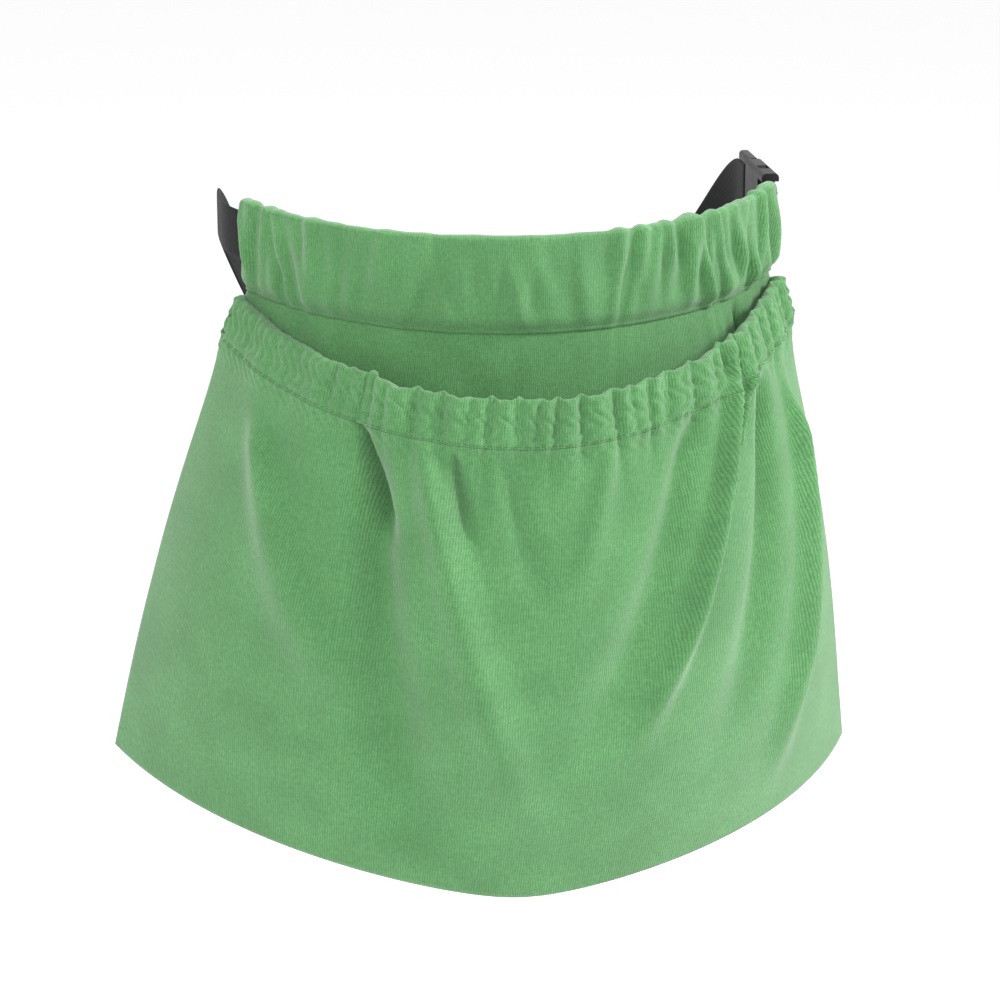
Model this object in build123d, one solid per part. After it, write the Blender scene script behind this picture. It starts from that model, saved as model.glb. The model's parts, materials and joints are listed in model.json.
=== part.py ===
from build123d import *
import os
from math import acos, atan2, cos, hypot, pi, radians, sin, sqrt

os.makedirs("parts", exist_ok=True)

# ---------------------------------------------------------------- driving sizes (mm)
# The origin is the middle of the waist loop at the webbing's mid height. +Z is up, -Y is the
# front of the wearer and +X is the wearer's left hip, where the buckle is.

# Waist curve: one wide front arc, a smaller arc at each hip, then straight back.
WAIST_HALF_WIDTH = 172.0
WAIST_FRONT_DEPTH = 118.0
WAIST_HIP_RADIUS = 60.0
HIP_CENTRE_Y = 18.92

# Cloth
CANVAS = 1.2
SEAM_GAP = 0.3
HINGE_GAP = 1.0
LAY_GAP = 0.05

# Webbing and elastic
WEBBING_WIDTH = 30.0
WEBBING_THICKNESS = 2.0
TUNNEL_GAP = 0.4
ELASTIC_WIDTH = 20.0
ELASTIC_THICKNESS = 1.2

# Waist casing, the tunnel that the belt runs through
CASING_HALF_LENGTH = 198.0
CASING_HEADROOM = 0.8
CASING_TOP_RISE = 6.0
CASING_HEM = -41.0
CASING_HEM_RISE = 9.0
CASING_SEAM_WIDTH = 8.0

# Lower hem of the bag, where the two panels are joined
HEM_HALF_WIDTH = 231.0
HEM_CENTRE_Y = -160.0
HEM_CORNER_Y = -22.0
HEM_CENTRE_Z = -379.0
HEM_CORNER_Z = -329.0
HEM_TURN = 1.15
HEM_POINT = 0.1
HEM_SWAY = -17.0
HEM_TILT = 10.0

# Mouth of the pouch
MOUTH_CENTRE_Z = -71.0
MOUTH_CORNER_DROP = 4.0
MOUTH_DIP_POINT = 0.3
MOUTH_SKEW = 7.0
MOUTH_GAP = 40.0
MOUTH_CASING_SEAM = 2.6
ELASTIC_PLAY = 1.1
MOUTH_TUNNEL_GAP = 0.3

# How far the panels belly out
FRONT_BELLY = 25.0
SIDE_BELLY = 8.0

# Side-release buckle
BUCKLE_SHOULDER = 6.0
BUCKLE_THICKNESS = 11.0
BUCKLE_WALL = 2.2
BUCKLE_CORNER = 3.0
SOCKET_START = 14.0
SOCKET_LENGTH = 46.0
SOCKET_FLOOR = 15.0
WINDOW_GAP = 0.6
PLUG_GAP = 2.0
BAR_RADIUS = 1.6
BAR_GAP = 0.2
BAR_INSET = 3.5
SLOT_LENGTH = 6.5
PLUG_SHOULDER = 5.0
PLUG_BASE_LENGTH = 26.0
BAR_PITCH = 9.0
RAIL_THICKNESS = 7.0
TONGUE_WIDTH = 8.0
TONGUE_LENGTH = 27.0
TONGUE_PLAY = 1.3
PRONG_SPREAD = 12.0
PRONG_WIDTH = 4.0
PRONG_PLAY = 0.8
PRONG_LENGTH = 29.0
PRONG_HEAD_LENGTH = 8.0
PRONG_NOSE_WIDTH = 5.0
PRONG_GAP = 0.3

# Rear belt: it hangs slack between the left hip and the buckle
HINGE_Y = 45.0
REAR_REACH = 58.0
REAR_DROP = 110.0
REAR_LEAN = radians(34.0)
TAIL_GAP = 0.4
TAIL_END_X = -78.0
TAIL_FOLD_LENGTH = 18.0
FOLD_EASE = 22.0

# Loops on the doubled part of the belt
SLIDER_X = 22.0
SLIDER_LENGTH = 12.0
SLIDER_WALL = 2.2
KEEPER_X = -22.0
KEEPER_LENGTH = 16.0
KEEPER_WALL = 1.0
LOOP_GAP = 0.4

# Threads
THREAD = 0.5
THREAD_WIDTH = 1.0
CASING_THREAD_HEIGHT = 2.0
SEAM_INSET = 6.0
TACK_LENGTH = 14.0
TACK_WIDTH = 2.4
FOLD_LENGTH = 30.0
BOX_STITCH_MARGIN = 4.0
BOX_STITCH_LENGTH = 12.0

# ---------------------------------------------------------------- derived places
HIP_CENTRE_X = WAIST_HALF_WIDTH - WAIST_HIP_RADIUS
HIP_TO_FRONT = WAIST_FRONT_DEPTH + HIP_CENTRE_Y
HIP_REACH_SQUARED = HIP_CENTRE_X ** 2 + HIP_TO_FRONT ** 2 - WAIST_HIP_RADIUS ** 2
WAIST_FRONT_RADIUS = HIP_REACH_SQUARED / 2 / (HIP_TO_FRONT - WAIST_HIP_RADIUS)
FRONT_CENTRE_Y = WAIST_FRONT_RADIUS - WAIST_FRONT_DEPTH
FRONT_TURN = atan2(HIP_CENTRE_X, FRONT_CENTRE_Y - HIP_CENTRE_Y)
FRONT_ARC = WAIST_FRONT_RADIUS * FRONT_TURN
HIP_ARC = WAIST_HIP_RADIUS * (pi / 2 - FRONT_TURN)
CASING_HALF_THICKNESS = WEBBING_THICKNESS / 2 + TUNNEL_GAP + CANVAS
CASING_TOP = WEBBING_WIDTH / 2 + CASING_HEADROOM + CANVAS
MOUTH_CASING_HEIGHT = CANVAS + ELASTIC_WIDTH + 2 * ELASTIC_PLAY + MOUTH_CASING_SEAM
BUCKLE_WIDTH = WEBBING_WIDTH + 2 * BUCKLE_SHOULDER
BUCKLE_INSIDE = BUCKLE_THICKNESS - 2 * BUCKLE_WALL
PRONG_THICKNESS = BUCKLE_INSIDE - 2 * PRONG_PLAY
TONGUE_THICKNESS = BUCKLE_INSIDE - 2 * TONGUE_PLAY
FOLD_OFFSET = WEBBING_THICKNESS + 2 * (BAR_RADIUS + BAR_GAP)
BUCKLE_X = WAIST_HALF_WIDTH - FOLD_OFFSET / 2
REAR_END_X = WAIST_HALF_WIDTH - FOLD_OFFSET
SOCKET_END = SOCKET_START + SOCKET_LENGTH
SOCKET_BAR_Y = SOCKET_START + BAR_INSET
PLUG_FACE = SOCKET_END + PLUG_GAP
PLUG_END = PLUG_FACE + PLUG_BASE_LENGTH
PLUG_BAR_Y = PLUG_FACE + PLUG_SHOULDER + SLOT_LENGTH + BAR_RADIUS
REAR_END_Y = PLUG_END
PRONG_PIVOT_Y = PLUG_FACE - PRONG_WIDTH / 2 - PRONG_GAP
LAID_OFFSET = WEBBING_THICKNESS + LAY_GAP
TAIL_OFFSET = WEBBING_THICKNESS + TAIL_GAP
MOUTH_HALF_THICKNESS = ELASTIC_THICKNESS / 2 + MOUTH_TUNNEL_GAP + CANVAS
ACROSS = 31
DOWN = 9
STEP = 0.001
OVERLAP = 0.6
SLIM = 0.02
TUNNEL_OVERRUN = 1.01


# ---------------------------------------------------------------- curves
def waist(s):
    """Plan point and outward normal at arc length s, measured from the front centre."""
    a = abs(s)
    if a <= FRONT_ARC:
        turn = a / WAIST_FRONT_RADIUS
        x = WAIST_FRONT_RADIUS * sin(turn)
        y = FRONT_CENTRE_Y - WAIST_FRONT_RADIUS * cos(turn)
    elif a <= FRONT_ARC + HIP_ARC:
        turn = FRONT_TURN + (a - FRONT_ARC) / WAIST_HIP_RADIUS
        x = HIP_CENTRE_X + WAIST_HIP_RADIUS * sin(turn)
        y = HIP_CENTRE_Y - WAIST_HIP_RADIUS * cos(turn)
    else:
        turn = pi / 2
        x = WAIST_HALF_WIDTH
        y = HIP_CENTRE_Y + a - FRONT_ARC - HIP_ARC
    side = 1 if s >= 0 else -1
    return Vector(side * x, y), Vector(side * sin(turn), -cos(turn))


def waist_length_at(y):
    """Arc length from the front centre to the straight stretch's point at this y."""
    return FRONT_ARC + HIP_ARC + y - HIP_CENTRE_Y


def waist_point(s, offset, z):
    point, normal = waist(s)
    return point + normal * offset + Vector(0, 0, z)


def pointed(u, point):
    """A V from 0 at the middle to 1 at each end, rounded where u is under about point."""
    return (hypot(u, point) - point) / (hypot(1, point) - point)


def hem(u):
    """Lower hem of the bag, and its outward normal."""
    turn = HEM_TURN * u
    depth = (1 - cos(turn)) / (1 - cos(HEM_TURN))
    lift = pointed(u, HEM_POINT)
    x = HEM_SWAY + HEM_HALF_WIDTH * sin(turn) / sin(HEM_TURN)
    y = HEM_CENTRE_Y + (HEM_CORNER_Y - HEM_CENTRE_Y) * depth
    z = HEM_CENTRE_Z + (HEM_CORNER_Z - HEM_CENTRE_Z) * lift - HEM_TILT * u
    along_x = HEM_HALF_WIDTH * cos(turn) / sin(HEM_TURN)
    along_y = (HEM_CORNER_Y - HEM_CENTRE_Y) * sin(turn) / (1 - cos(HEM_TURN))
    return Vector(x, y, z), Vector(along_y, -along_x).normalized()


def casing_hem(u):
    point, normal = waist(u * CASING_HALF_LENGTH)
    return point + Vector(0, 0, CASING_HEM + CASING_HEM_RISE * u * u), normal


def casing_top_z(u):
    return CASING_TOP + CASING_TOP_RISE * u * u


def casing_hem_z(u):
    return CASING_HEM + CASING_HEM_RISE * u * u


def seam_stack():
    """Distance between the middles of the two panels where they are joined."""
    return CANVAS + SEAM_GAP


def mouth(u):
    """Upper edge of the mouth casing, with its outward normal."""
    start, normal = casing_hem(u)
    corner_z = casing_hem_z(1) - MOUTH_CORNER_DROP
    rise = pointed(u, MOUTH_DIP_POINT)
    z = MOUTH_CENTRE_Z + (corner_z - MOUTH_CENTRE_Z) * rise + MOUTH_SKEW * u * (1 - u * u)
    gap = 2 * CASING_HALF_THICKNESS + MOUTH_GAP * (1 - u * u) ** 2
    return Vector(start.X, start.Y, z) + normal * gap, normal


def side_bulge(u, v):
    return Vector(SIDE_BELLY * sin(pi * v) * u * u * u, 0, 0)


def square_off(surface, u, v, offset):
    """Point at this distance in front of a surface, measured square to it."""
    here = surface(u, v)
    across = surface(u + STEP, v) - surface(u - STEP, v)
    down = surface(u, v + STEP) - surface(u, v - STEP)
    return here + down.cross(across).normalized() * offset


def back_surface(u, v):
    top = casing_hem(u)[0]
    return top * (1 - v) + hem(u)[0] * v + side_bulge(u, v)


def front_surface(u, v):
    top, top_normal = mouth(u)
    low, low_normal = hem(u)
    normal = (top_normal * (1 - v) + low_normal * v).normalized()
    belly = FRONT_BELLY * (1 - u ** 4) * sin(pi * v)
    low = low + low_normal * seam_stack()
    return top * (1 - v) + low * v + side_bulge(u, v) + normal * belly


def back_point(u, v, offset):
    """Back panel: v runs from the waist casing's hem (0) to the lower hem (1)."""
    return square_off(back_surface, u, v, offset)


def front_point(u, v, offset):
    """Front panel and mouth casing: v runs from the mouth edge (0) to the lower hem (1)."""
    return square_off(front_surface, u, v, offset)


def front_v_at(u, depth):
    """The v at which the front panel is this far below the mouth edge."""
    top = mouth(u)[0]
    low = hem(u)[0]
    return depth / (top - low).length


def rear_drop(s, near_plug):
    """Share of the sag, and its steepness: it starts gently at the hinge and sooner at the plug."""
    if near_plug:
        return s * s * (3 - 2 * s), 6 * s * (1 - s)
    return s ** 3 * (10 - 15 * s + 6 * s * s), 30 * s * s * (1 - s) ** 2


def rear_frame(t):
    """Rear belt at t (0 at the left hip, 1 at the plug): point, width direction, outward normal."""
    angle = pi * t
    s = sin(angle)
    middle_x = (REAR_END_X - WAIST_HALF_WIDTH) / 2
    half_width = (REAR_END_X + WAIST_HALF_WIDTH) / 2
    x = middle_x - half_width * cos(angle)
    y = HINGE_Y + (REAR_END_Y - HINGE_Y) * (1 - cos(angle)) / 2 + REAR_REACH * s * (2 - s)
    drop, steepness = rear_drop(s, t > 0.5)
    along_x = half_width * s
    along_y = (REAR_END_Y - HINGE_Y) * s / 2 + REAR_REACH * 2 * cos(angle) * (1 - s)
    along_z = -REAR_DROP * steepness * cos(angle)
    along = Vector(along_x, along_y, along_z).normalized()
    plan_out = Vector(-along_y, along_x).normalized()
    lean = REAR_LEAN * drop
    rough = Vector(0, 0, cos(lean)) + plan_out * sin(lean)
    out = rough.cross(along).normalized()
    if out.dot(plan_out) < 0:
        out = out * -1
    wide = along.cross(out).normalized()
    if wide.Z < 0:
        wide = wide * -1
    return Vector(x, y, -REAR_DROP * drop), wide, out


def rear_point(t, across, offset):
    point, wide, out = rear_frame(t)
    return point + wide * across + out * offset


# ---------------------------------------------------------------- solid builders
def spread(start, stop, count):
    """Evenly spaced numbers from start to stop."""
    return [start + (stop - start) * i / (count - 1) for i in range(count)]


def smooth(x):
    """0 below 0, 1 above 1, and a smooth step between."""
    x = min(max(x, 0.0), 1.0)
    return x * x * (3 - 2 * x)


def sheet(point, us, vs, thickness, outward=Vector(0, -1, 0)):
    """Closed solid of this thickness, centred on the surface point(u, v, offset)."""
    grid = [[point(u, v, -thickness / 2) for v in vs] for u in us]
    skin = Face.make_surface_from_array_of_points(grid, tol=0.005)
    return Solid.thicken(skin, thickness, normal_override=outward)


def write(name, *shapes):
    solids = [solid for shape in shapes for solid in shape.solids()]
    result = solids[0] if len(solids) == 1 else Compound(children=solids)
    export_step(result, os.path.join("parts", name + ".step"))


def block(x, y, z, centre):
    return Pos(*centre) * Box(x, y, z)


def straight_strap(run, centre):
    """Straight webbing along Y, a hair slimmer than the curved webbing that it runs into."""
    return block(WEBBING_THICKNESS - 2 * SLIM, run, WEBBING_WIDTH - 2 * SLIM, centre)


def half_wrap(centre_x, centre_y, toward):
    """Half turn of webbing about an upright bar, on the side that toward (+1 or -1 in Y) names."""
    inner = BAR_RADIUS + BAR_GAP + SLIM
    outer = inner + WEBBING_THICKNESS - 2 * SLIM
    high = WEBBING_WIDTH - 2 * SLIM
    ring = Cylinder(outer, high) - Cylinder(inner, high)
    size = 4 * outer
    keep = block(size, size, WEBBING_WIDTH, (0, toward * size / 2, 0))
    return Pos(centre_x, centre_y, 0) * (ring & keep)


def tube_sheet(outer_point, inner_point, us, outer_vs, inner_vs, outer_thickness, inner_thickness):
    """Flat sewn tunnel, open at both ends."""
    tunnel_us = [u * TUNNEL_OVERRUN for u in us]
    body = sheet(outer_point, us, outer_vs, outer_thickness)
    return body - sheet(inner_point, tunnel_us, inner_vs, inner_thickness)


# ---------------------------------------------------------------- cloth
def casing_point(u, z, offset):
    return waist_point(u * CASING_HALF_LENGTH, offset, z)


def make_waist_casing():
    def outer(u, v, offset):
        z = casing_hem_z(u) * (1 - v) + casing_top_z(u) * v
        return casing_point(u, z, offset)

    def inner(u, v, offset):
        low = casing_hem_z(u) + CASING_SEAM_WIDTH
        high = casing_top_z(u) - CANVAS
        return casing_point(u, low * (1 - v) + high * v, offset)

    us = spread(-1, 1, 2 * ACROSS - 1)
    vs = spread(0, 1, 3)
    tunnel = WEBBING_THICKNESS + 2 * TUNNEL_GAP
    return tube_sheet(outer, inner, us, vs, vs, 2 * CASING_HALF_THICKNESS, tunnel)


def make_back_panel():
    start = 2 * SEAM_GAP / (CASING_HEM - HEM_CENTRE_Z)
    return sheet(back_point, spread(-1, 1, ACROSS), spread(start, 1, DOWN), CANVAS)


def make_front_panel():
    def point(u, v, offset):
        start = front_v_at(u, MOUTH_CASING_HEIGHT + LAY_GAP)
        return front_point(u, start + (1 - start) * v, offset)

    return sheet(point, spread(-1, 1, ACROSS), spread(0, 1, DOWN), CANVAS)


def mouth_strip(top, low):
    """Strip of the mouth between two depths below the mouth edge."""
    def point(u, v, offset):
        return front_point(u, front_v_at(u, top * (1 - v) + low * v), offset)

    return point


def make_mouth_casing():
    outer = mouth_strip(0, MOUTH_CASING_HEIGHT)
    inner = mouth_strip(CANVAS, MOUTH_CASING_HEIGHT - MOUTH_CASING_SEAM)
    us = spread(-1, 1, ACROSS)
    vs = spread(0, 1, 3)
    tunnel = ELASTIC_THICKNESS + 2 * MOUTH_TUNNEL_GAP
    return tube_sheet(outer, inner, us, vs, vs, 2 * MOUTH_HALF_THICKNESS, tunnel)


def make_mouth_elastic():
    middle = (CANVAS + MOUTH_CASING_HEIGHT - MOUTH_CASING_SEAM) / 2
    point = mouth_strip(middle - ELASTIC_WIDTH / 2, middle + ELASTIC_WIDTH / 2)
    return sheet(point, spread(-1, 1, ACROSS), spread(0, 1, 3), ELASTIC_THICKNESS)


# ---------------------------------------------------------------- belt
def strap_levels():
    return spread(-WEBBING_WIDTH / 2, WEBBING_WIDTH / 2, 3)


def make_belt_front():
    """Webbing from the left hip through the casing and round the socket's bar."""
    def strap(s, z, offset):
        return waist_point(s, offset, z)

    stop = waist_length_at(SOCKET_BAR_Y) + OVERLAP
    long_run = spread(-FRONT_ARC - HIP_ARC, stop, 2 * ACROSS - 1)
    pieces = sheet(strap, long_run, strap_levels(), WEBBING_THICKNESS)
    straight = HINGE_Y - HIP_CENTRE_Y + OVERLAP
    middle_y = HINGE_Y - straight / 2
    pieces += straight_strap(straight, (-WAIST_HALF_WIDTH, middle_y, 0))
    pieces += Pos(-WAIST_HALF_WIDTH, HINGE_Y, 0) * Cylinder(WEBBING_THICKNESS / 2, WEBBING_WIDTH)
    return pieces + half_wrap(BUCKLE_X, SOCKET_BAR_Y, 1)


def make_belt_front_fold():
    """End of the front webbing, folded back along its inner face and sewn down."""
    bar_s = waist_length_at(SOCKET_BAR_Y)

    def fold(s, z, offset):
        away = smooth((s - bar_s + FOLD_EASE) / FOLD_EASE)
        return waist_point(s, offset - LAID_OFFSET - (FOLD_OFFSET - LAID_OFFSET) * away, z)

    run = spread(bar_s - FOLD_LENGTH, bar_s - 2 * LAY_GAP, ACROSS)
    return sheet(fold, run, strap_levels(), WEBBING_THICKNESS, Vector(1, 0, 0))


def make_box_stitch():
    """Stitched square on the webbing's outer face that closes its fold."""
    far = waist_length_at(SOCKET_BAR_Y) - FOLD_LENGTH + BOX_STITCH_MARGIN / 2
    half = WEBBING_WIDTH / 2 - BOX_STITCH_MARGIN
    level = WEBBING_THICKNESS / 2 + LAY_GAP + THREAD / 2

    def line(s, z, offset):
        return waist_point(s, offset + level, z)

    right = Vector(1, 0, 0)
    stitches = []
    for z in (-half, half):
        zs = spread(z - THREAD_WIDTH / 2, z + THREAD_WIDTH / 2, 3)
        stitches.append(sheet(line, spread(far, far + BOX_STITCH_LENGTH, 5), zs, THREAD, right))
    inside = half - THREAD_WIDTH / 2 - LAY_GAP
    for s in (far, far + BOX_STITCH_LENGTH - THREAD_WIDTH):
        zs = spread(-inside, inside, 3)
        stitches.append(sheet(line, spread(s, s + THREAD_WIDTH, 3), zs, THREAD, right))
    return stitches


def rear_t_at(x):
    middle_x = (REAR_END_X - WAIST_HALF_WIDTH) / 2
    half_width = (REAR_END_X + WAIST_HALF_WIDTH) / 2
    return acos((middle_x - x) / half_width) / pi


def make_belt_rear():
    """Webbing from the left hip round the back to the plug's bar."""
    start = WEBBING_THICKNESS / 2 + HINGE_GAP
    first = start / (2 * pi * REAR_REACH)
    back = Vector(0, 1, 0)
    pieces = sheet(rear_point, spread(first, 1, 2 * ACROSS - 1), strap_levels(), WEBBING_THICKNESS, back)
    run = REAR_END_Y - PLUG_BAR_Y + 2 * OVERLAP
    middle_y = (REAR_END_Y + PLUG_BAR_Y) / 2
    pieces += straight_strap(run, (REAR_END_X, middle_y, 0))
    pieces += half_wrap(BUCKLE_X, PLUG_BAR_Y, -1)
    return pieces


def tail_offset(t):
    """The tail stands off at the plug and then lies on the belt."""
    from_plug = (1 - t) * pi * REAR_REACH * 2
    return TAIL_OFFSET + (FOLD_OFFSET - TAIL_OFFSET) * (1 - smooth(from_plug / (2 * FOLD_EASE)))


def make_belt_tail():
    def strap(t, across, offset):
        return rear_point(t, across, offset + tail_offset(t))

    back = Vector(0, 1, 0)
    ts = spread(rear_t_at(TAIL_END_X), 1, ACROSS)
    laid = sheet(strap, ts, strap_levels(), WEBBING_THICKNESS, back)
    run = REAR_END_Y - PLUG_BAR_Y - LAY_GAP + OVERLAP
    middle_y = PLUG_BAR_Y + LAY_GAP + run / 2
    x = WAIST_HALF_WIDTH
    return laid + straight_strap(run, (x, middle_y, 0))


def make_tail_fold():
    """The tail's end, folded back on its outer face."""
    def strap(t, across, offset):
        return rear_point(t, across, offset + TAIL_OFFSET + LAID_OFFSET)

    ts = spread(rear_t_at(TAIL_END_X), rear_t_at(TAIL_END_X + TAIL_FOLD_LENGTH), 5)
    return sheet(strap, ts, strap_levels(), WEBBING_THICKNESS, Vector(0, 1, 0))


def make_belt_loop(x, length, wall):
    """Rectangular loop round the belt and its tail."""
    t = rear_t_at(x)
    point, wide, out = rear_frame(t)
    along = out.cross(wide)
    centre = point + out * (TAIL_OFFSET / 2)
    deep = TAIL_OFFSET + WEBBING_THICKNESS + 2 * LOOP_GAP
    high = WEBBING_WIDTH + 2 * LOOP_GAP
    outer = RectangleRounded(high + 2 * wall, deep + 2 * wall, wall)
    ring = extrude(outer - Rectangle(high, deep), length / 2, both=True)
    return Plane(centre, x_dir=wide, z_dir=along) * ring


# ---------------------------------------------------------------- buckle
def bar(y):
    return Pos(BUCKLE_X, y, 0) * Cylinder(BAR_RADIUS, BUCKLE_WIDTH - BUCKLE_WALL)


def strap_window(start, stop, thickness):
    high = WEBBING_WIDTH + 4 * LOOP_GAP
    return block(thickness, stop - start, high, (BUCKLE_X, (start + stop) / 2, 0))


def make_buckle_socket():
    middle = (SOCKET_START + SOCKET_END) / 2
    shell = Pos(BUCKLE_X, middle, 0) * Box(BUCKLE_THICKNESS, SOCKET_LENGTH, BUCKLE_WIDTH)
    shell = fillet(shell.edges().filter_by(Axis.Y), BUCKLE_CORNER)
    shell -= strap_window(SOCKET_START - 1, SOCKET_BAR_Y + BAR_RADIUS + SLOT_LENGTH, 2 * BUCKLE_THICKNESS)
    floor = SOCKET_START + SOCKET_FLOOR
    deep = SOCKET_END + 1 - floor
    wide = BUCKLE_WIDTH - 2 * BUCKLE_WALL
    shell -= block(BUCKLE_INSIDE, deep, wide, (BUCKLE_X, floor + deep / 2, 0))
    window = PRONG_HEAD_LENGTH + 2 * WINDOW_GAP
    window_y = PRONG_PIVOT_Y - PRONG_LENGTH + PRONG_HEAD_LENGTH / 2
    shell -= block(BUCKLE_INSIDE, window, 2 * BUCKLE_WIDTH, (BUCKLE_X, window_y, 0))
    return shell + bar(SOCKET_BAR_Y)


def make_buckle_plug():
    middle = (PLUG_FACE + PLUG_END) / 2
    base = Pos(BUCKLE_X, middle, 0) * Box(RAIL_THICKNESS, PLUG_BASE_LENGTH, BUCKLE_WIDTH)
    base = fillet(base.edges().filter_by(Axis.Y), RAIL_THICKNESS / 3)
    base -= strap_window(PLUG_FACE + PLUG_SHOULDER, PLUG_END + 1, 2 * RAIL_THICKNESS)
    tongue = Box(TONGUE_THICKNESS, TONGUE_LENGTH + 1, TONGUE_WIDTH)
    tongue = fillet(tongue.edges().filter_by(Axis.X), 1)
    base += Pos(BUCKLE_X, PLUG_FACE - (TONGUE_LENGTH - 1) / 2, 0) * tongue
    return base + bar(PLUG_BAR_Y) + bar(PLUG_BAR_Y + BAR_PITCH)


def make_prong(side):
    """Springy arm with a barbed head, round at the root that it bends about."""
    half = PRONG_WIDTH / 2
    tip = -PRONG_LENGTH
    barb = tip + PRONG_HEAD_LENGTH
    reach = BUCKLE_WIDTH / 2 - PRONG_SPREAD
    outline = Polyline(
        (0, -half),
        (tip, -half),
        (tip, PRONG_NOSE_WIDTH - half),
        (barb, reach),
        (barb, half),
        (0, half),
        close=True,
    )
    flat = make_face(outline) + Circle(half)
    arm = extrude(flat, PRONG_THICKNESS / 2, both=True)
    place = Plane((BUCKLE_X, PRONG_PIVOT_Y, side * PRONG_SPREAD), x_dir=(0, 1, 0), z_dir=(side, 0, 0))
    return place * arm


# ---------------------------------------------------------------- threads
def ribbon(point, us, vs, level):
    """Line of stitching laid on a surface, level above its middle."""
    def raised(u, v, offset):
        return point(u, v, offset + level + LAY_GAP + THREAD / 2)

    return sheet(raised, us, vs, THREAD)


def make_waist_stitching():
    def line(u, v, offset):
        return casing_point(u, casing_hem_z(u) + CASING_THREAD_HEIGHT + v, offset)

    us = spread(-1, 1, 2 * ACROSS - 1)
    return ribbon(line, us, spread(0, THREAD_WIDTH, 3), CASING_HALF_THICKNESS)


def make_mouth_stitching():
    low = MOUTH_CASING_HEIGHT - MOUTH_CASING_SEAM / 2
    line = mouth_strip(low - THREAD_WIDTH, low)
    return ribbon(line, spread(-1, 1, ACROSS), spread(0, 1, 3), MOUTH_HALF_THICKNESS)


def seam_u():
    return 1 - SEAM_INSET / HEM_HALF_WIDTH


def make_side_stitching(side):
    half = THREAD_WIDTH / 2 / HEM_HALF_WIDTH
    top = front_v_at(1, MOUTH_CASING_HEIGHT + SEAM_INSET)
    low = 1 - front_v_at(1, SEAM_INSET + THREAD_WIDTH)
    middle = side * seam_u()
    return ribbon(front_point, spread(middle - half, middle + half, 3), spread(top, low, DOWN), CANVAS / 2)


def make_hem_stitching():
    middle = front_v_at(0, SEAM_INSET)
    half = front_v_at(0, THREAD_WIDTH / 2)
    vs = spread(1 - middle - half, 1 - middle + half, 3)
    return ribbon(front_point, spread(-seam_u(), seam_u(), ACROSS), vs, CANVAS / 2)


def make_corner_tacks():
    """Dense bars of thread that hold the mouth's two corners."""
    low = MOUTH_CASING_HEIGHT - 2 * MOUTH_CASING_SEAM
    line = mouth_strip(low - TACK_LENGTH, low)
    half = TACK_WIDTH / 2 / HEM_HALF_WIDTH
    middle = seam_u()
    tacks = []
    for side in (-1, 1):
        us = spread(side * middle - half, side * middle + half, 3)
        tacks.append(ribbon(line, us, spread(0, 1, 5), MOUTH_HALF_THICKNESS))
    return tacks


# ---------------------------------------------------------------- the whole bag
def main():
    write("waist_casing", make_waist_casing())
    write("back_panel", make_back_panel())
    write("front_panel", make_front_panel())
    write("mouth_casing", make_mouth_casing())
    write("mouth_elastic", make_mouth_elastic())
    write("belt_webbing_front", make_belt_front())
    write("belt_front_fold", make_belt_front_fold())
    write("belt_box_stitch", *make_box_stitch())
    write("belt_webbing_rear", make_belt_rear())
    write("belt_tail", make_belt_tail())
    write("belt_tail_fold", make_tail_fold())
    write("belt_slider", make_belt_loop(SLIDER_X, SLIDER_LENGTH, SLIDER_WALL))
    write("belt_keeper", make_belt_loop(KEEPER_X, KEEPER_LENGTH, KEEPER_WALL))
    write("buckle_socket", make_buckle_socket())
    write("buckle_plug", make_buckle_plug())
    write("buckle_prong_upper", make_prong(1))
    write("buckle_prong_lower", make_prong(-1))
    write("waist_casing_stitching", make_waist_stitching())
    write("mouth_casing_stitching", make_mouth_stitching())
    write("side_seam_stitching_left", make_side_stitching(-1))
    write("side_seam_stitching_right", make_side_stitching(1))
    write("bottom_seam_stitching", make_hem_stitching())
    write("mouth_corner_tacks", *make_corner_tacks())


main()
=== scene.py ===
import json
from math import acos, atan2, cos, hypot, pi, radians, sin

import bmesh
import bpy
import numpy as np
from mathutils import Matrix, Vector


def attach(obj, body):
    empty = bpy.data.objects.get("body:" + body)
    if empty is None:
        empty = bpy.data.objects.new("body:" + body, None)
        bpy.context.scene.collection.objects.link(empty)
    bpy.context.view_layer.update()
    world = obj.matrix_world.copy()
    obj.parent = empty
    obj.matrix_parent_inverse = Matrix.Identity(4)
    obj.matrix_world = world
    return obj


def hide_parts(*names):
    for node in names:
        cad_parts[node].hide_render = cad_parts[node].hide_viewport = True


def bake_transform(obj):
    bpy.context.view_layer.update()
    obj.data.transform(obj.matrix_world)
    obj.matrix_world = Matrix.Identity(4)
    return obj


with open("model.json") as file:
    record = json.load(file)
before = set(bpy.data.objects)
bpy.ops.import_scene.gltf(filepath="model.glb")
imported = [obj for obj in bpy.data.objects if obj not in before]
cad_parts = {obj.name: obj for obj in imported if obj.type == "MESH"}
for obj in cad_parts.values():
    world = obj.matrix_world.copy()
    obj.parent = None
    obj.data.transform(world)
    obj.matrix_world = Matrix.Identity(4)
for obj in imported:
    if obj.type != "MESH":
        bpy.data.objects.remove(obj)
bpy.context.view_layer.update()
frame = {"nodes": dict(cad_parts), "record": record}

bl_info = {
    "name": "Fruit picking bag",
    "version": (1, 0, 0),
    "blender": (4, 5, 0),
    "location": "3D View > Sidebar > Picking bag",
    "description": "Makes a canvas picking bag with a gathered mouth, a belt casing, webbing and a buckle",
    "category": "Object",
}

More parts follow.
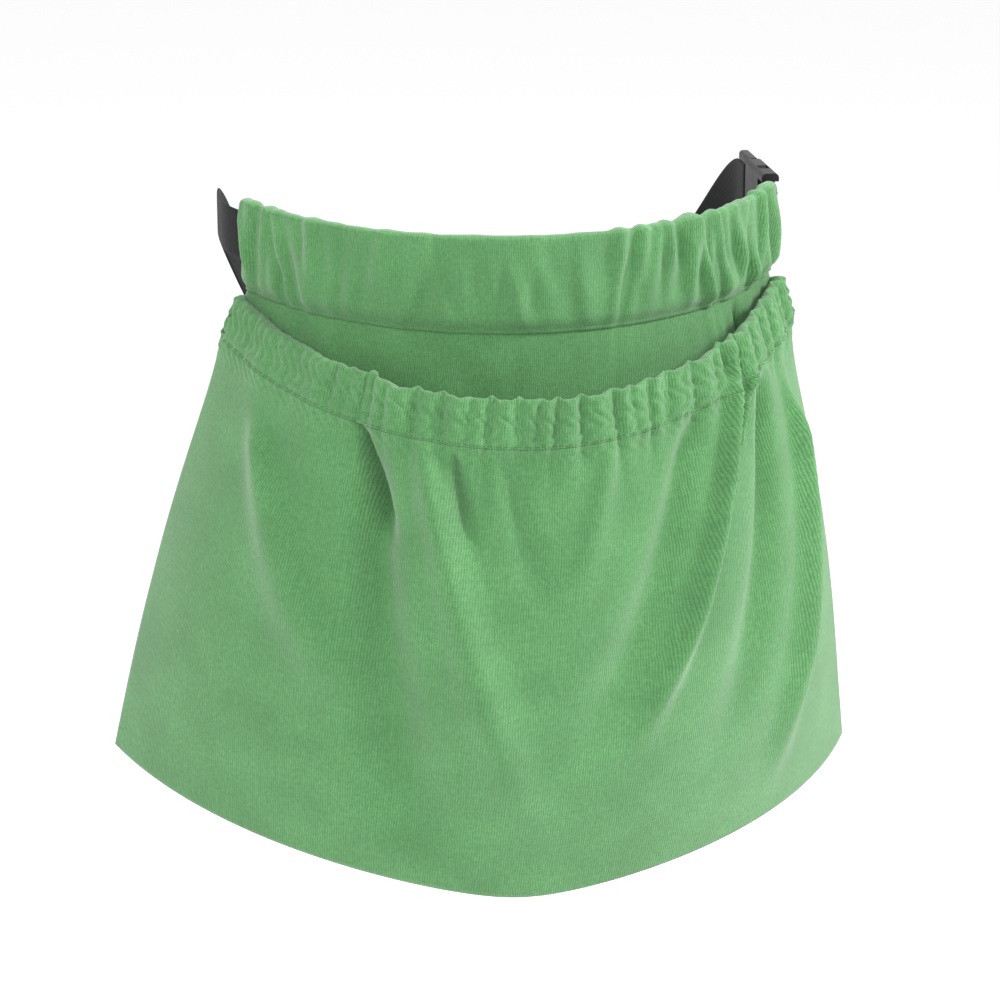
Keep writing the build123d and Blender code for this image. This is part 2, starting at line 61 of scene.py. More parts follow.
# ---- sizes in metres
# Waist curve
WAIST_HALF_WIDTH = 0.172
WAIST_FRONT_DEPTH = 0.118
WAIST_HIP_RADIUS = 0.060
HIP_CENTRE_X = WAIST_HALF_WIDTH - WAIST_HIP_RADIUS
HIP_CENTRE_Y = 0.01892
HIP_TO_FRONT = WAIST_FRONT_DEPTH + HIP_CENTRE_Y
HIP_REACH_SQUARED = HIP_CENTRE_X ** 2 + HIP_TO_FRONT ** 2 - WAIST_HIP_RADIUS ** 2
WAIST_FRONT_RADIUS = HIP_REACH_SQUARED / 2 / (HIP_TO_FRONT - WAIST_HIP_RADIUS)
FRONT_CENTRE_Y = WAIST_FRONT_RADIUS - WAIST_FRONT_DEPTH
FRONT_TURN = atan2(HIP_CENTRE_X, FRONT_CENTRE_Y - HIP_CENTRE_Y)
FRONT_ARC = WAIST_FRONT_RADIUS * FRONT_TURN
HIP_ARC = WAIST_HIP_RADIUS * (pi / 2 - FRONT_TURN)

# Cloth
CANVAS = 0.0012
SEAM_STACK = 0.0015
CASING_HALF_LENGTH = 0.198
CASING_TOP = 0.017
CASING_TOP_RISE = 0.006
CASING_HEM = -0.041
CASING_HEM_RISE = 0.009
CASING_HALF_THICKNESS = 0.0026
HEM_HALF_WIDTH = 0.231
HEM_CENTRE_Y = -0.160
HEM_CORNER_Y = -0.022
HEM_CENTRE_Z = -0.379
HEM_CORNER_Z = -0.329
HEM_TURN = 1.15
HEM_POINT = 0.1
HEM_SWAY = -0.017
HEM_TILT = 0.010
MOUTH_CENTRE_Z = -0.071
MOUTH_CORNER_DROP = 0.004
MOUTH_DIP_POINT = 0.3
MOUTH_SKEW = 0.007
MOUTH_GAP = 0.040
MOUTH_CASING_HEIGHT = 0.026
FRONT_BELLY = 0.025
SIDE_BELLY = 0.008

# Gathers: the pitch and width of the mouth's pleats are shares of the casing's half length
MOUTH_STITCH_DEPTH = 0.0247
PLEAT_PITCH = 0.062
PLEAT_WIDTH = 0.0145
PLEAT_DEPTH = 0.0066
PLEAT_SEED = 7
PLEAT_START = -0.985
PLEAT_STOP = 0.99
PLEAT_WIDENING = 0.022
GROOVE_ROUNDING = 0.18
DEEPEST_GROOVE = 1.3
STITCH_PINCH = 0.35
SWELL_TAIL = 0.020
CRINKLE_TAIL = 0.008
# The mouth's left end is nearly smooth: how deep its pleats are, and where and how fast they deepen
CALM_DEPTH = 0.22
CALM_END = -0.60
CALM_FADE = 0.16
# One deep pleat: place, depth, lean and tail length
DEEP_PLEAT = (-0.435, 0.9, 0.5, 0.045)
# How far the mouth's ridges stand above the front surface, as a share of a pleat's depth
RIDGE_LIFT = 0.9
RIDGE_LIFT_TAIL = 0.02
# Each long fold: its two ends as (u, v), its width in u and its height
FRONT_FOLD_STRENGTH = 1.75
FRONT_FOLDS = (
    ((-0.44, 0.09), (-0.33, 0.30), 0.020, -0.0070),
    ((-0.39, 0.16), (-0.22, 0.95), 0.060, -0.0095),
    ((-0.21, 0.10), (-0.16, 0.28), 0.014, -0.0040),
    ((-0.27, 0.12), (0.01, 0.90), 0.050, 0.0070),
    ((-0.72, 0.18), (-0.38, 0.65), 0.070, 0.0055),
    ((-0.10, 0.10), (0.00, 0.40), 0.030, -0.0025),
    ((0.14, 0.10), (0.06, 0.40), 0.030, 0.0025),
    ((0.36, 0.10), (0.12, 0.70), 0.055, -0.0060),
    ((0.51, 0.04), (0.23, 0.68), 0.022, 0.0075),
    ((0.58, 0.08), (0.44, 0.24), 0.015, 0.0045),
    ((0.66, 0.12), (0.44, 0.78), 0.050, -0.0065),
    ((0.79, 0.20), (0.61, 0.92), 0.032, 0.0070),
)
BACK_FOLDS = (
    ((0.63, 0.00), (0.68, 0.45), 0.030, 0.0030),
    ((0.72, 0.00), (0.78, 0.45), 0.022, -0.0060),
    ((-0.62, 0.02), (-0.52, 0.50), 0.060, 0.0025),
    ((-0.20, 0.05), (-0.05, 0.60), 0.090, -0.0020),
)
# Each group of waist folds: where it starts and stops, how many, how high and how wide
WAIST_FOLD_SEED = 11
WAIST_FOLD_GROUPS = (
    (-0.99, -0.70, 7, 0.0050, 0.0036),
    (-0.66, -0.08, 10, 0.0034, 0.0050),
    (-0.04, 0.22, 4, 0.0030, 0.0045),
    (0.26, 0.55, 9, 0.0044, 0.0038),
    (0.56, 0.98, 12, 0.0048, 0.0032),
)

# Belt
WEBBING_WIDTH = 0.030
WEBBING_THICKNESS = 0.002
HINGE_Y = 0.045
REAR_REACH = 0.058
REAR_DROP = 0.110
REAR_LEAN = radians(34.0)
REAR_END_Y = 0.088
FOLD_OFFSET = 0.0056
REAR_END_X = WAIST_HALF_WIDTH - FOLD_OFFSET
TAIL_OFFSET = 0.0024
TAIL_END_X = -0.078
TAIL_FOLD_LENGTH = 0.018
FOLD_EASE = 0.022
FOLD_LENGTH = 0.030
SOCKET_BAR_Y = 0.0175
PLUG_BAR_Y = 0.0751
LAID_OFFSET = 0.00205
HINGE_GAP = 0.001
ELASTIC_DEPTH = 0.0123
ELASTIC_WIDTH = 0.020
ELASTIC_THICKNESS = 0.0011
ELASTIC_COLOUR = (0.62, 0.62, 0.58)
MOUTH_END = 0.985
SEAM_INSET = 0.006
TURNED_EDGE = 0.0012

# Flat size of each sheet: its width and length
CASING_CLOTH = (0.45, 0.128)
BACK_CLOTH = (0.54, 0.35)
FRONT_CLOTH = (0.60, 0.32)
MOUTH_CLOTH = (0.62, 0.058)

# Thread: how thick each seam's is, and the tacks and the box that it makes
WAIST_SEAM_END = 0.995
WAIST_THREAD = 0.0010
POUCH_THREAD = 0.0007
BELT_THREAD = 0.0006
STITCH_SHARE = 0.84
THREAD_LIFT = 0.0002
TACK_TOP = 0.008
TACK_FOOT = 0.021
TACK_ROW_PITCH = 0.0006
BOX_END_MARGIN = 0.002
BOX_EDGE_MARGIN = 0.004
BOX_LENGTH = 0.012

# Layers of cloth, as half distances from a casing's middle
SEAM_HALF = 0.00065
CASING_GAP = 0.0020
CASING_SLACK = 0.0014
MOUTH_LAYER = 0.00145
WAIST_STITCH_HEIGHT = 0.0025
WAIST_STITCH_DIMPLE = 0.0009
MOUTH_STITCH_DIP = 0.0005
OPENING_RUN = 0.010
SEAM_SLACK = 0.0004
INNER_PLEAT_SHARE = 0.45

# Stage
FLOOR_Z = -0.75
FLOOR_SIZE = 24.0
FLOOR_COLOUR = (0.95, 0.95, 0.95, 1.0)
SENSOR_WIDTH = 36.0
CAMERA_TARGET = (-0.0185, -0.095, -0.1495)
CAMERA_DISTANCE = 2.2
CAMERA_WIDTH = 0.600
CAMERA_AZIMUTH = radians(-9.0)
CAMERA_ELEVATION = radians(17.0)
# Each light: its name, place and size, and its power as a share of the key light's
LIGHTS = (
    ("key_light", (1.75, -0.55, 1.15), 0.55, 1.0),
    ("fill_light", (-1.0, -1.9, 1.2), 1.2, 0.55),
    ("top_light", (0.1, 0.9, 1.5), 1.0, 0.30),
)


# Meshes
TINY = 1e-12
SLOPE_STEP = 1e-3
OUTWARD = Vector((0, -1, 0))
STRAP_SIDES = 28
# Fullness of the cloth that the weave's map allows for: metres of cloth for each metre along the waist, and
# half the width of each panel
WAIST_FULLNESS = 1.25
BACK_HALF_CLOTH = 0.22
FRONT_HALF_CLOTH = 0.245
BACK_CLOTH_LENGTH = 0.33


# ---- surfaces
def smooth(x):
    x = np.clip(x, 0.0, 1.0)
    return x * x * (3 - 2 * x)


def bump(x, width):
    """Rounded bump of height 1 at 0."""
    return np.exp(-(x / width) ** 2)


def unit(v):
    return v / np.maximum(np.linalg.norm(v, axis=-1, keepdims=True), TINY)


def stack(*parts):
    return np.stack(np.broadcast_arrays(*parts), axis=-1).astype(float)


def waist(s):
    """Plan point and outward normal at arc length s from the front centre."""
    a = np.abs(s)
    side = np.where(s >= 0, 1.0, -1.0)
    front = a / WAIST_FRONT_RADIUS
    hip = FRONT_TURN + (a - FRONT_ARC) / WAIST_HIP_RADIUS
    straight = HIP_CENTRE_Y + a - FRONT_ARC - HIP_ARC
    cases = [a <= FRONT_ARC, a <= FRONT_ARC + HIP_ARC]
    x_cases = [WAIST_FRONT_RADIUS * np.sin(front), HIP_CENTRE_X + WAIST_HIP_RADIUS * np.sin(hip)]
    x = np.select(cases, x_cases, WAIST_HALF_WIDTH)
    y_cases = [
        FRONT_CENTRE_Y - WAIST_FRONT_RADIUS * np.cos(front),
        HIP_CENTRE_Y - WAIST_HIP_RADIUS * np.cos(hip),
    ]
    y = np.select(cases, y_cases, straight)
    turn = np.select(cases, [front, hip], pi / 2)
    zero = np.zeros_like(x)
    return stack(side * x, y, zero), stack(side * np.sin(turn), -np.cos(turn), zero)


def waist_length_at(y):
    return FRONT_ARC + HIP_ARC + y - HIP_CENTRE_Y


def waist_point(s, z, offset):
    point, normal = waist(s)
    return point + normal * np.asarray(offset)[..., None] + stack(0 * s, 0 * s, z)


def pointed(u, point):
    return (np.hypot(u, point) - point) / (hypot(1, point) - point)


def hem(u):
    turn = HEM_TURN * u
    depth = (1 - np.cos(turn)) / (1 - np.cos(HEM_TURN))
    x = HEM_SWAY + HEM_HALF_WIDTH * np.sin(turn) / np.sin(HEM_TURN)
    y = HEM_CENTRE_Y + (HEM_CORNER_Y - HEM_CENTRE_Y) * depth
    z = HEM_CENTRE_Z + (HEM_CORNER_Z - HEM_CENTRE_Z) * pointed(u, HEM_POINT) - HEM_TILT * u
    along_x = HEM_HALF_WIDTH * np.cos(turn) / np.sin(HEM_TURN)
    along_y = (HEM_CORNER_Y - HEM_CENTRE_Y) * np.sin(turn) / (1 - np.cos(HEM_TURN))
    return stack(x, y, z), unit(stack(along_y, -along_x, 0 * x))


def casing_hem_z(u):
    return CASING_HEM + CASING_HEM_RISE * u * u


def casing_top_z(u):
    return CASING_TOP + CASING_TOP_RISE * u * u


def casing_hem(u):
    point, normal = waist(u * CASING_HALF_LENGTH)
    return point + stack(0 * u, 0 * u, casing_hem_z(u)), normal


def mouth(u):
    start, normal = casing_hem(u)
    corner_z = casing_hem_z(1) - MOUTH_CORNER_DROP
    skew = MOUTH_SKEW * u * (1 - u * u)
    z = MOUTH_CENTRE_Z + (corner_z - MOUTH_CENTRE_Z) * pointed(u, MOUTH_DIP_POINT) + skew
    gap = 2 * CASING_HALF_THICKNESS + MOUTH_GAP * (1 - u * u) ** 2
    start = start + normal * gap[..., None]
    start[..., 2] = z
    return start, normal


def side_bulge(u, v):
    swell = SIDE_BELLY * np.sin(pi * v) * u ** 3
    return stack(swell, 0 * swell, 0 * swell)


def back_surface(u, v):
    top = casing_hem(u)[0]
    low = hem(u)[0]
    share = np.asarray(v)[..., None]
    return top * (1 - share) + low * share + side_bulge(u, v)


def front_surface(u, v):
    top, top_normal = mouth(u)
    low, low_normal = hem(u)
    share = np.asarray(v)[..., None]
    normal = unit(top_normal * (1 - share) + low_normal * share)
    belly = FRONT_BELLY * (1 - u ** 4) * np.sin(pi * v)
    low = low + low_normal * SEAM_STACK
    return top * (1 - share) + low * share + side_bulge(u, v) + normal * belly[..., None]


def front_v_at(u, depth):
    top = mouth(u)[0]
    low = hem(u)[0]
    return depth / np.linalg.norm(top - low, axis=-1)


def raised(surface, u, v, height):
    """Points this high above a surface, measured square to it."""
    across = surface(u + SLOPE_STEP, v) - surface(u - SLOPE_STEP, v)
    down = surface(u, v + SLOPE_STEP) - surface(u, v - SLOPE_STEP)
    normal = unit(np.cross(down, across))
    return surface(u, v) + normal * np.asarray(height)[..., None]


def rear_frame(t):
    """Rear belt at t, 0 at the left hip and 1 at the plug: point, width direction, outward normal."""
    angle = pi * t
    s = np.sin(angle)
    c = np.cos(angle)
    middle_x = (REAR_END_X - WAIST_HALF_WIDTH) / 2
    half_width = (REAR_END_X + WAIST_HALF_WIDTH) / 2
    x = middle_x - half_width * c
    y = HINGE_Y + (REAR_END_Y - HINGE_Y) * (1 - c) / 2 + REAR_REACH * s * (2 - s)
    near_plug = np.asarray(t) > 0.5
    drop = np.where(near_plug, s * s * (3 - 2 * s), s ** 3 * (10 - 15 * s + 6 * s * s))
    steepness = np.where(near_plug, 6 * s * (1 - s), 30 * s * s * (1 - s) ** 2)
    along_y = (REAR_END_Y - HINGE_Y) * s / 2 + REAR_REACH * 2 * c * (1 - s)
    along = unit(stack(half_width * s, along_y, -REAR_DROP * steepness * c))
    plan_out = unit(stack(-along_y, half_width * s, 0 * s))
    lean = REAR_LEAN * drop
    rough = plan_out * np.sin(lean)[..., None] + stack(0 * s, 0 * s, np.cos(lean))
    out = unit(np.cross(rough, along))
    out = out * np.where(np.sum(out * plan_out, axis=-1) < 0, -1.0, 1.0)[..., None]
    wide = unit(np.cross(along, out))
    wide = wide * np.where(wide[..., 2] < 0, -1.0, 1.0)[..., None]
    return stack(x, y, -REAR_DROP * drop), wide, out


def rear_t_at(x):
    middle_x = (REAR_END_X - WAIST_HALF_WIDTH) / 2
    half_width = (REAR_END_X + WAIST_HALF_WIDTH) / 2
    return acos((middle_x - x) / half_width) / pi


# ---- gathers and folds
def mouth_pleats():
    """Grooves of the gathered mouth, from left to right: place, depth, lean and tail length."""
    draw = np.random.default_rng(PLEAT_SEED)
    pleats = []
    u = PLEAT_START
    while u < PLEAT_STOP:
        share = float(smooth((u - CALM_END) / CALM_FADE))
        reach = CALM_DEPTH + (1 - CALM_DEPTH) * share
        depth = draw.uniform(0.55, 1.0) * reach
        lean = draw.uniform(-0.5, 0.5)
        tail = draw.uniform(0.008, 0.036) * reach
        pleats.append((u, depth, lean, tail))
        u += PLEAT_PITCH * draw.uniform(0.62, 1.38)
    pleats.append(DEEP_PLEAT)
    return pleats


def groove(x):
    """Sharp at the bottom and rounded at the rims; 1 in the middle."""
    return np.exp(-(np.hypot(x, GROOVE_ROUNDING) - GROOVE_ROUNDING) ** 1.25)


def gathers(u, depth, pleats):
    """Grooves of the mouth below its ridges: 0 on a ridge, negative in a groove."""
    below = np.maximum(depth - MOUTH_CASING_HEIGHT, 0)
    pinch = 1 - STITCH_PINCH * bump(depth - MOUTH_STITCH_DEPTH, 0.0035)
    total = np.zeros(np.broadcast(u, depth).shape)
    for place, deep, lean, tail in pleats:
        width = PLEAT_WIDTH * (1 + below / PLEAT_WIDENING)
        x = (u - place - lean * depth) / width
        total = total - deep * groove(x) * pinch * np.exp(-below / tail)
    swell = 0.30 * np.sin(23.0 * u + 0.7) * np.sin(9.0 * u + 2.0) * np.exp(-below / SWELL_TAIL)
    crinkle = 0.10 * np.sin(210.0 * u + 4.0 * np.sin(300.0 * depth)) * np.exp(-below / CRINKLE_TAIL)
    return PLEAT_DEPTH * (np.maximum(total, -DEEPEST_GROOVE) + swell + crinkle)


def ridge_line(u, v, start, stop, width, height):
    """Long fold from one (u, v) to another, which widens on its way and fades at both ends."""
    share = (v - start[1]) / (stop[1] - start[1])
    middle = start[0] + (stop[0] - start[0]) * share
    spread = width * (0.6 + 0.8 * np.clip(share, 0, 1))
    fade = smooth((share + 0.10) / 0.20) * (1 - smooth((share - 0.60) / 0.5))
    return height * fade * bump(u - middle, spread)


def ridges(u, v, lines):
    return sum(ridge_line(u, v, *line) for line in lines)


def front_folds(u, v):
    """Long folds that hang from the gathered mouth and die out at the seams."""
    sides = smooth((1 - np.abs(u)) / 0.10) * smooth((1 - v) / 0.14)
    return FRONT_FOLD_STRENGTH * ridges(u, v, FRONT_FOLDS) * sides


def waist_folds():
    """Folds of the waist casing: place, middle, width, height, lean and half length of each."""
    draw = np.random.default_rng(WAIST_FOLD_SEED)
    folds = []
    for start, stop, count, height, width in WAIST_FOLD_GROUPS:
        for place in np.linspace(start, stop, count):
            s = (place + draw.uniform(-0.4, 0.4) * (stop - start) / count) * CASING_HALF_LENGTH
            side = draw.choice((-1.0, 1.0))
            tall = draw.uniform(0.012, 0.040)
            lean = draw.uniform(-0.30, 0.30)
            high = height * draw.uniform(0.6, 1.0)
            middle = draw.uniform(-0.028, 0.010)
            wide = width * draw.uniform(0.7, 1.4)
            folds.append((s, middle, wide, high, lean, tall, side))
    return folds


def waist_pleats(s, z, folds):
    """Pleats of the waist casing: crowded at both ends, slanting and loose in the middle."""
    total = np.zeros(np.broadcast(s, z).shape)
    for place, middle, width, height, lean, tall, side in folds:
        x = side * (s - place - lean * (z - middle)) / width
        shape = x * np.exp(-0.5 * x * x) + 0.5 * np.exp(-x * x)
        total = total + height * shape * bump(z - middle, tall)
    return total


# ---- meshes
def grid_mesh(name, points, uv, round_columns=False):
    """Mesh of quads over a grid of points, with a UV map in metres."""
    rows, columns = points.shape[:2]
    index = np.arange(rows * columns).reshape(rows, columns)
    if round_columns:
        index = np.concatenate([index, index[:, :1]], axis=1)
        uv = np.concatenate([uv, uv[:, -1:] + (uv[:, -1:] - uv[:, -2:-1])], axis=1)
    corners = [index[:-1, :-1], index[:-1, 1:], index[1:, 1:], index[1:, :-1]]
    faces = np.stack([c.ravel() for c in corners], axis=-1)
    uv_corners = [uv[:-1, :-1], uv[:-1, 1:], uv[1:, 1:], uv[1:, :-1]]
    face_uv = np.stack([c.reshape(-1, 2) for c in uv_corners], axis=1)
    mesh = bpy.data.meshes.new(name)
    mesh.from_pydata(points.reshape(-1, 3).tolist(), [], faces.tolist())
    layer = mesh.uv_layers.new(name="cloth")
    layer.data.foreach_set("uv", face_uv.reshape(-1).astype(np.float32))
    mesh.shade_smooth()
    mesh.update()
    return mesh


def add_object(name, data):
    made = bpy.data.objects.new(name, data)
    bpy.context.scene.collection.objects.link(made)
    return made


def add_piece(name, mesh, material):
    mesh.materials.append(material)
    return add_object(name, mesh)


def thicken(piece):
    """Gives a sheet the canvas's thickness, half to each side, as part of its mesh."""
    solid = piece.modifiers.new("cloth thickness", "SOLIDIFY")
    solid.thickness = CANVAS
    solid.offset = 0.0
    solid.use_even_offset = False
    keep_modifiers(piece)


def keep_modifiers(piece):
    graph = bpy.context.evaluated_depsgraph_get()
    made = bpy.data.meshes.new_from_object(piece.evaluated_get(graph))
    piece.modifiers.clear()
    old = piece.data
    piece.data = made
    bpy.data.meshes.remove(old)


def mesh_area(piece):
    return sum(face.area for face in piece.data.polygons)


def grid(us, vs):
    return np.meshgrid(us, vs, indexing="ij")


# ---- cloth pieces
def layer_gap(depth, tunnel_start, tunnel_stop, seam, open_gap):
    """Half distance between two layers: seam where they are sewn and open_gap along the tunnel."""
    lift = smooth((depth - tunnel_start) / 0.004) * (1 - smooth((depth - tunnel_stop + 0.004) / 0.004))
    return seam + (open_gap - seam) * lift


def casing_profile(levels, turn_levels):
    """Shares of a casing's height up the inner face, over its top turn and down the outer face.

    Returns each row's share of the height and its side, from -1 inside to 1 outside."""
    up = np.linspace(0, 1, levels)
    turn = np.linspace(0, pi, turn_levels + 2)[1:-1]
    share = np.concatenate([up, np.ones(turn_levels), up[::-1]])
    rise = np.concatenate([np.zeros(levels), np.sin(turn), np.zeros(levels)])
    side = np.concatenate([-np.ones(levels), -np.cos(turn), np.ones(levels)])
    return share, rise, side


def waist_face(above_hem, pleats):
    """How far a face of the waist casing stands from its middle."""
    open_share = smooth(above_hem / OPENING_RUN)
    gap = SEAM_HALF + (CASING_GAP - SEAM_HALF) * open_share
    dimple = WAIST_STITCH_DIMPLE * bump(above_hem - WAIST_STITCH_HEIGHT, 0.0011)
    room = SEAM_SLACK + (CASING_SLACK - SEAM_SLACK) * open_share
    return gap - dimple + room + np.maximum(pleats * (0.35 + 0.65 * open_share), -room)


def make_waist_casing_points(settings):
    columns = 380
    share, rise, side = casing_profile(levels=34, turn_levels=5)
    folds = waist_folds()
    s, row = grid(np.linspace(-1, 1, columns) * CASING_HALF_LENGTH, np.arange(len(share)))
    u = s / CASING_HALF_LENGTH
    low = casing_hem_z(u)
    top = casing_top_z(u) - CASING_GAP
    z = low + (top - low) * share[row]
    pleats = waist_pleats(s, z, folds) * settings.gather
    face = np.where(side > 0, 1.0, INNER_PLEAT_SHARE)[row]
    offset = side[row] * waist_face(z - low, pleats * face)
    z = z + rise[row] * CASING_GAP + 0.35 * pleats * smooth((share[row] - 0.8) / 0.2)
    points = waist_point(s, z, offset)
    height = 0.055
    depth = 0.002
    travel = np.concatenate([[0], np.cumsum(np.hypot(np.diff(share) * height, np.diff(side) * depth))])
    uv = np.stack([s * WAIST_FULLNESS, travel[row]], axis=-1)
    return points, uv


def make_back_points(settings):
    """The back panel, from just above the casing's hem down to the bag's hem."""
    tuck = 0.016
    u, v = grid(np.linspace(-1, 1, 220), np.linspace(-tuck, 1, 150))
    z = CASING_HEM - v * 0.12
    hang = 0.7 * waist_pleats(u * CASING_HALF_LENGTH, z, waist_folds()) * np.exp(-np.maximum(v, 0) / 0.25)
    hang += ridges(u, v, BACK_FOLDS)
    held = smooth((v + tuck) / 0.08) * smooth((1 - np.abs(u)) / 0.08) * smooth((1 - v) / 0.2)
    points = raised(back_surface, u, v, hang * settings.gather * held)
    uv = np.stack([u * BACK_HALF_CLOTH, v * BACK_CLOTH_LENGTH], axis=-1)
    return points, uv


def side_close(u, v):
    """Brings the front panel's sides in against the back panel."""
    gap = 2 * CASING_HALF_THICKNESS * (1 - v) + SEAM_STACK * v
    return -(gap - SEAM_STACK) * smooth((np.abs(u) - 0.985) / 0.015)


def outer_layer(u, depth, pleats, settings):
    """Height of the pouch's outer cloth above the front surface."""
    v = depth * front_v_at(u, 1.0)
    below = np.maximum(depth - MOUTH_CASING_HEIGHT, 0)
    tunnel = layer_gap(depth, -0.010, MOUTH_STITCH_DEPTH, SEAM_HALF, MOUTH_LAYER)
    settle = 1 - smooth(below / 0.012)
    base = np.where(depth < MOUTH_CASING_HEIGHT, tunnel, SEAM_HALF * settle)
    dip = MOUTH_STITCH_DIP * bump(depth - MOUTH_STITCH_DEPTH, 0.0012)
    rolls = gathers(u, depth, pleats) * settings.gather
    lift = RIDGE_LIFT * PLEAT_DEPTH * np.exp(-below / RIDGE_LIFT_TAIL)
    return base - dip + rolls + lift + front_folds(u, v) * settings.gather


def make_front_points(settings):
    columns = 330
    rows = 135
    u, w = grid(np.linspace(-1, 1, columns), np.linspace(0, 1, rows))
    start = front_v_at(u, MOUTH_CASING_HEIGHT + 0.00005)
    v = start + (1 - start) * w ** 1.25
    depth = v / front_v_at(u, 1.0)
    height = outer_layer(u, depth, mouth_pleats(), settings) * smooth((1 - v) / 0.02 + 0.05)
    points = raised(front_surface, u, v, height + side_close(u, v))
    widening = 0.015 * v
    uv = np.stack([u * (FRONT_HALF_CLOTH + widening), depth], axis=-1)
    return points, uv


def make_mouth_points(settings):
    columns = 480
    share, rise, side = casing_profile(levels=20, turn_levels=5)
    pleats = mouth_pleats()
    u, row = grid(np.linspace(-1, 1, columns), np.arange(len(share)))
    depth = MOUTH_LAYER + (MOUTH_CASING_HEIGHT - MOUTH_LAYER) * (1 - share[row])
    outer = outer_layer(u, depth, pleats, settings)
    rolls = gathers(u, depth, pleats) * settings.gather
    tunnel = layer_gap(depth, -0.010, MOUTH_STITCH_DEPTH, SEAM_HALF, MOUTH_LAYER)
    inner = -tunnel - 0.5 * rolls
    blend = (side[row] + 1) / 2
    height = inner + (outer - inner) * blend
    edge = rise[row] * MOUTH_LAYER - 0.45 * rolls * smooth((share[row] - 0.55) / 0.45)
    v = (depth - edge) * front_v_at(u, 1.0)
    points = raised(front_surface, u, v, height + side_close(u, v))
    travel = np.where(side[row] > 0, depth, -depth)
    uv = np.stack([u * FRONT_HALF_CLOTH, travel], axis=-1)
    return points, uv


def add_cloth(name, made, material, folded=False):
    """A thick sheet of cloth, and the area of its middle face. A folded casing ends on its outer side."""
    points, uv = made
    mesh = grid_mesh(name, points, uv)
    steps = points.shape[1] - 1
    middle_column = len(mesh.polygons) // 2 // steps * steps
    face = mesh.polygons[middle_column + (steps - 2 if folded else steps // 2)]
    if face.normal.dot(OUTWARD) < 0:
        mesh.flip_normals()
    piece = add_piece(name, mesh, material)
    area = mesh_area(piece)
    thicken(piece)
    return piece, area


# ---- straps
def strap_points(middles, wides, outs, width, thickness):
    """Flat strap with rounded edges, swept along middles."""
    turn = np.linspace(0, 2 * pi, STRAP_SIDES, endpoint=False)
    across = np.sign(np.cos(turn)) * np.abs(np.cos(turn)) ** 0.25 * width / 2
    height = np.sign(np.sin(turn)) * np.abs(np.sin(turn)) ** 0.75 * thickness / 2
    edge = wides[:, None, :] * across[None, :, None]
    face = outs[:, None, :] * height[None, :, None]
    points = middles[:, None, :] + edge + face
    run = np.concatenate([[0], np.cumsum(np.linalg.norm(np.diff(middles, axis=0), axis=1))])
    return points, stack(run[:, None], across[None, :])


def close_ends(mesh, ring):
    """Fills the two open ends of a swept strap."""
    shape = bmesh.new()
    shape.from_mesh(mesh)
    shape.verts.ensure_lookup_table()
    count = len(shape.verts)
    first = shape.faces.new([shape.verts[i] for i in range(ring)])
    last = shape.faces.new([shape.verts[count - 1 - i] for i in range(ring)])
    bmesh.ops.poke(shape, faces=[first, last])
    bmesh.ops.recalc_face_normals(shape, faces=shape.faces)
    shape.to_mesh(mesh)
    shape.free()
    mesh.shade_smooth()


def add_strap(name, middles, wides, outs, material, width=WEBBING_WIDTH, thickness=WEBBING_THICKNESS):
    points, uv = strap_points(middles, wides, outs, width, thickness)
    mesh = grid_mesh(name, points, uv, round_columns=True)
    close_ends(mesh, points.shape[1])
    return add_piece(name, mesh, material)


def upright(count):
    return np.tile([0.0, 0.0, 1.0], (count, 1))


def outs_along(middles, wides):
    along = unit(np.gradient(middles, axis=0))
    return unit(np.cross(wides, along))


def bar_wrap(bar_y, toward, count=14):
    """Half turn round an upright buckle bar, from the outer side to the inner one."""
    turn = np.linspace(0, pi, count)
    radius = FOLD_OFFSET / 2
    x = WAIST_HALF_WIDTH - radius + radius * np.cos(turn)
    y = bar_y + toward * radius * np.sin(turn)
    return stack(x, y, 0 * x)


# ---- materials
def new_socket(tree, name, kind, default=None, output=False):
    side = "OUTPUT" if output else "INPUT"
    socket = tree.interface.new_socket(name=name, in_out=side, socket_type=kind)
    if default is not None:
        socket.default_value = default
    return socket


class Nodes:
    """Adds nodes to one tree and joins them."""

    def __init__(self, tree):
        self.tree = tree

    def add(self, kind, inputs=None, **settings):
        node = self.tree.nodes.new(kind)
        for name, value in settings.items():
            setattr(node, name, value)
        for key, value in (inputs or {}).items():
            if isinstance(value, bpy.types.NodeSocket):
                self.tree.links.new(value, node.inputs[key])
            else:
                node.inputs[key].default_value = value
        return node

    def math(self, operation, a, b=0.0):
        return self.add("ShaderNodeMath", {0: a, 1: b}, operation=operation).outputs[0]

    def noise(self, vector, scale, detail=2.0, roughness=0.5):
        made = self.add("ShaderNodeTexNoise", {"Vector": vector, "Scale": scale, "Detail": detail})
        made.inputs["Roughness"].default_value = roughness
        return made.outputs["Fac"]

    def mix(self, factor, a, b):
        node = self.add("ShaderNodeMix", data_type="RGBA")
        for index, value in ((0, factor), (6, a), (7, b)):
            if isinstance(value, bpy.types.NodeSocket):
                self.tree.links.new(value, node.inputs[index])
            else:
                node.inputs[index].default_value = value
        return node.outputs[2]

    def link(self, source, target):
        self.tree.links.new(source, target)


def group_frame(name, inputs, outputs):
    tree = bpy.data.node_groups.new(name, "ShaderNodeTree")
    for socket_name, kind, default in inputs:
        new_socket(tree, socket_name, kind, default)
    for socket_name, kind in outputs:
        new_socket(tree, socket_name, kind, output=True)
    nodes = Nodes(tree)
    return tree, nodes, nodes.add("NodeGroupInput"), nodes.add("NodeGroupOutput")


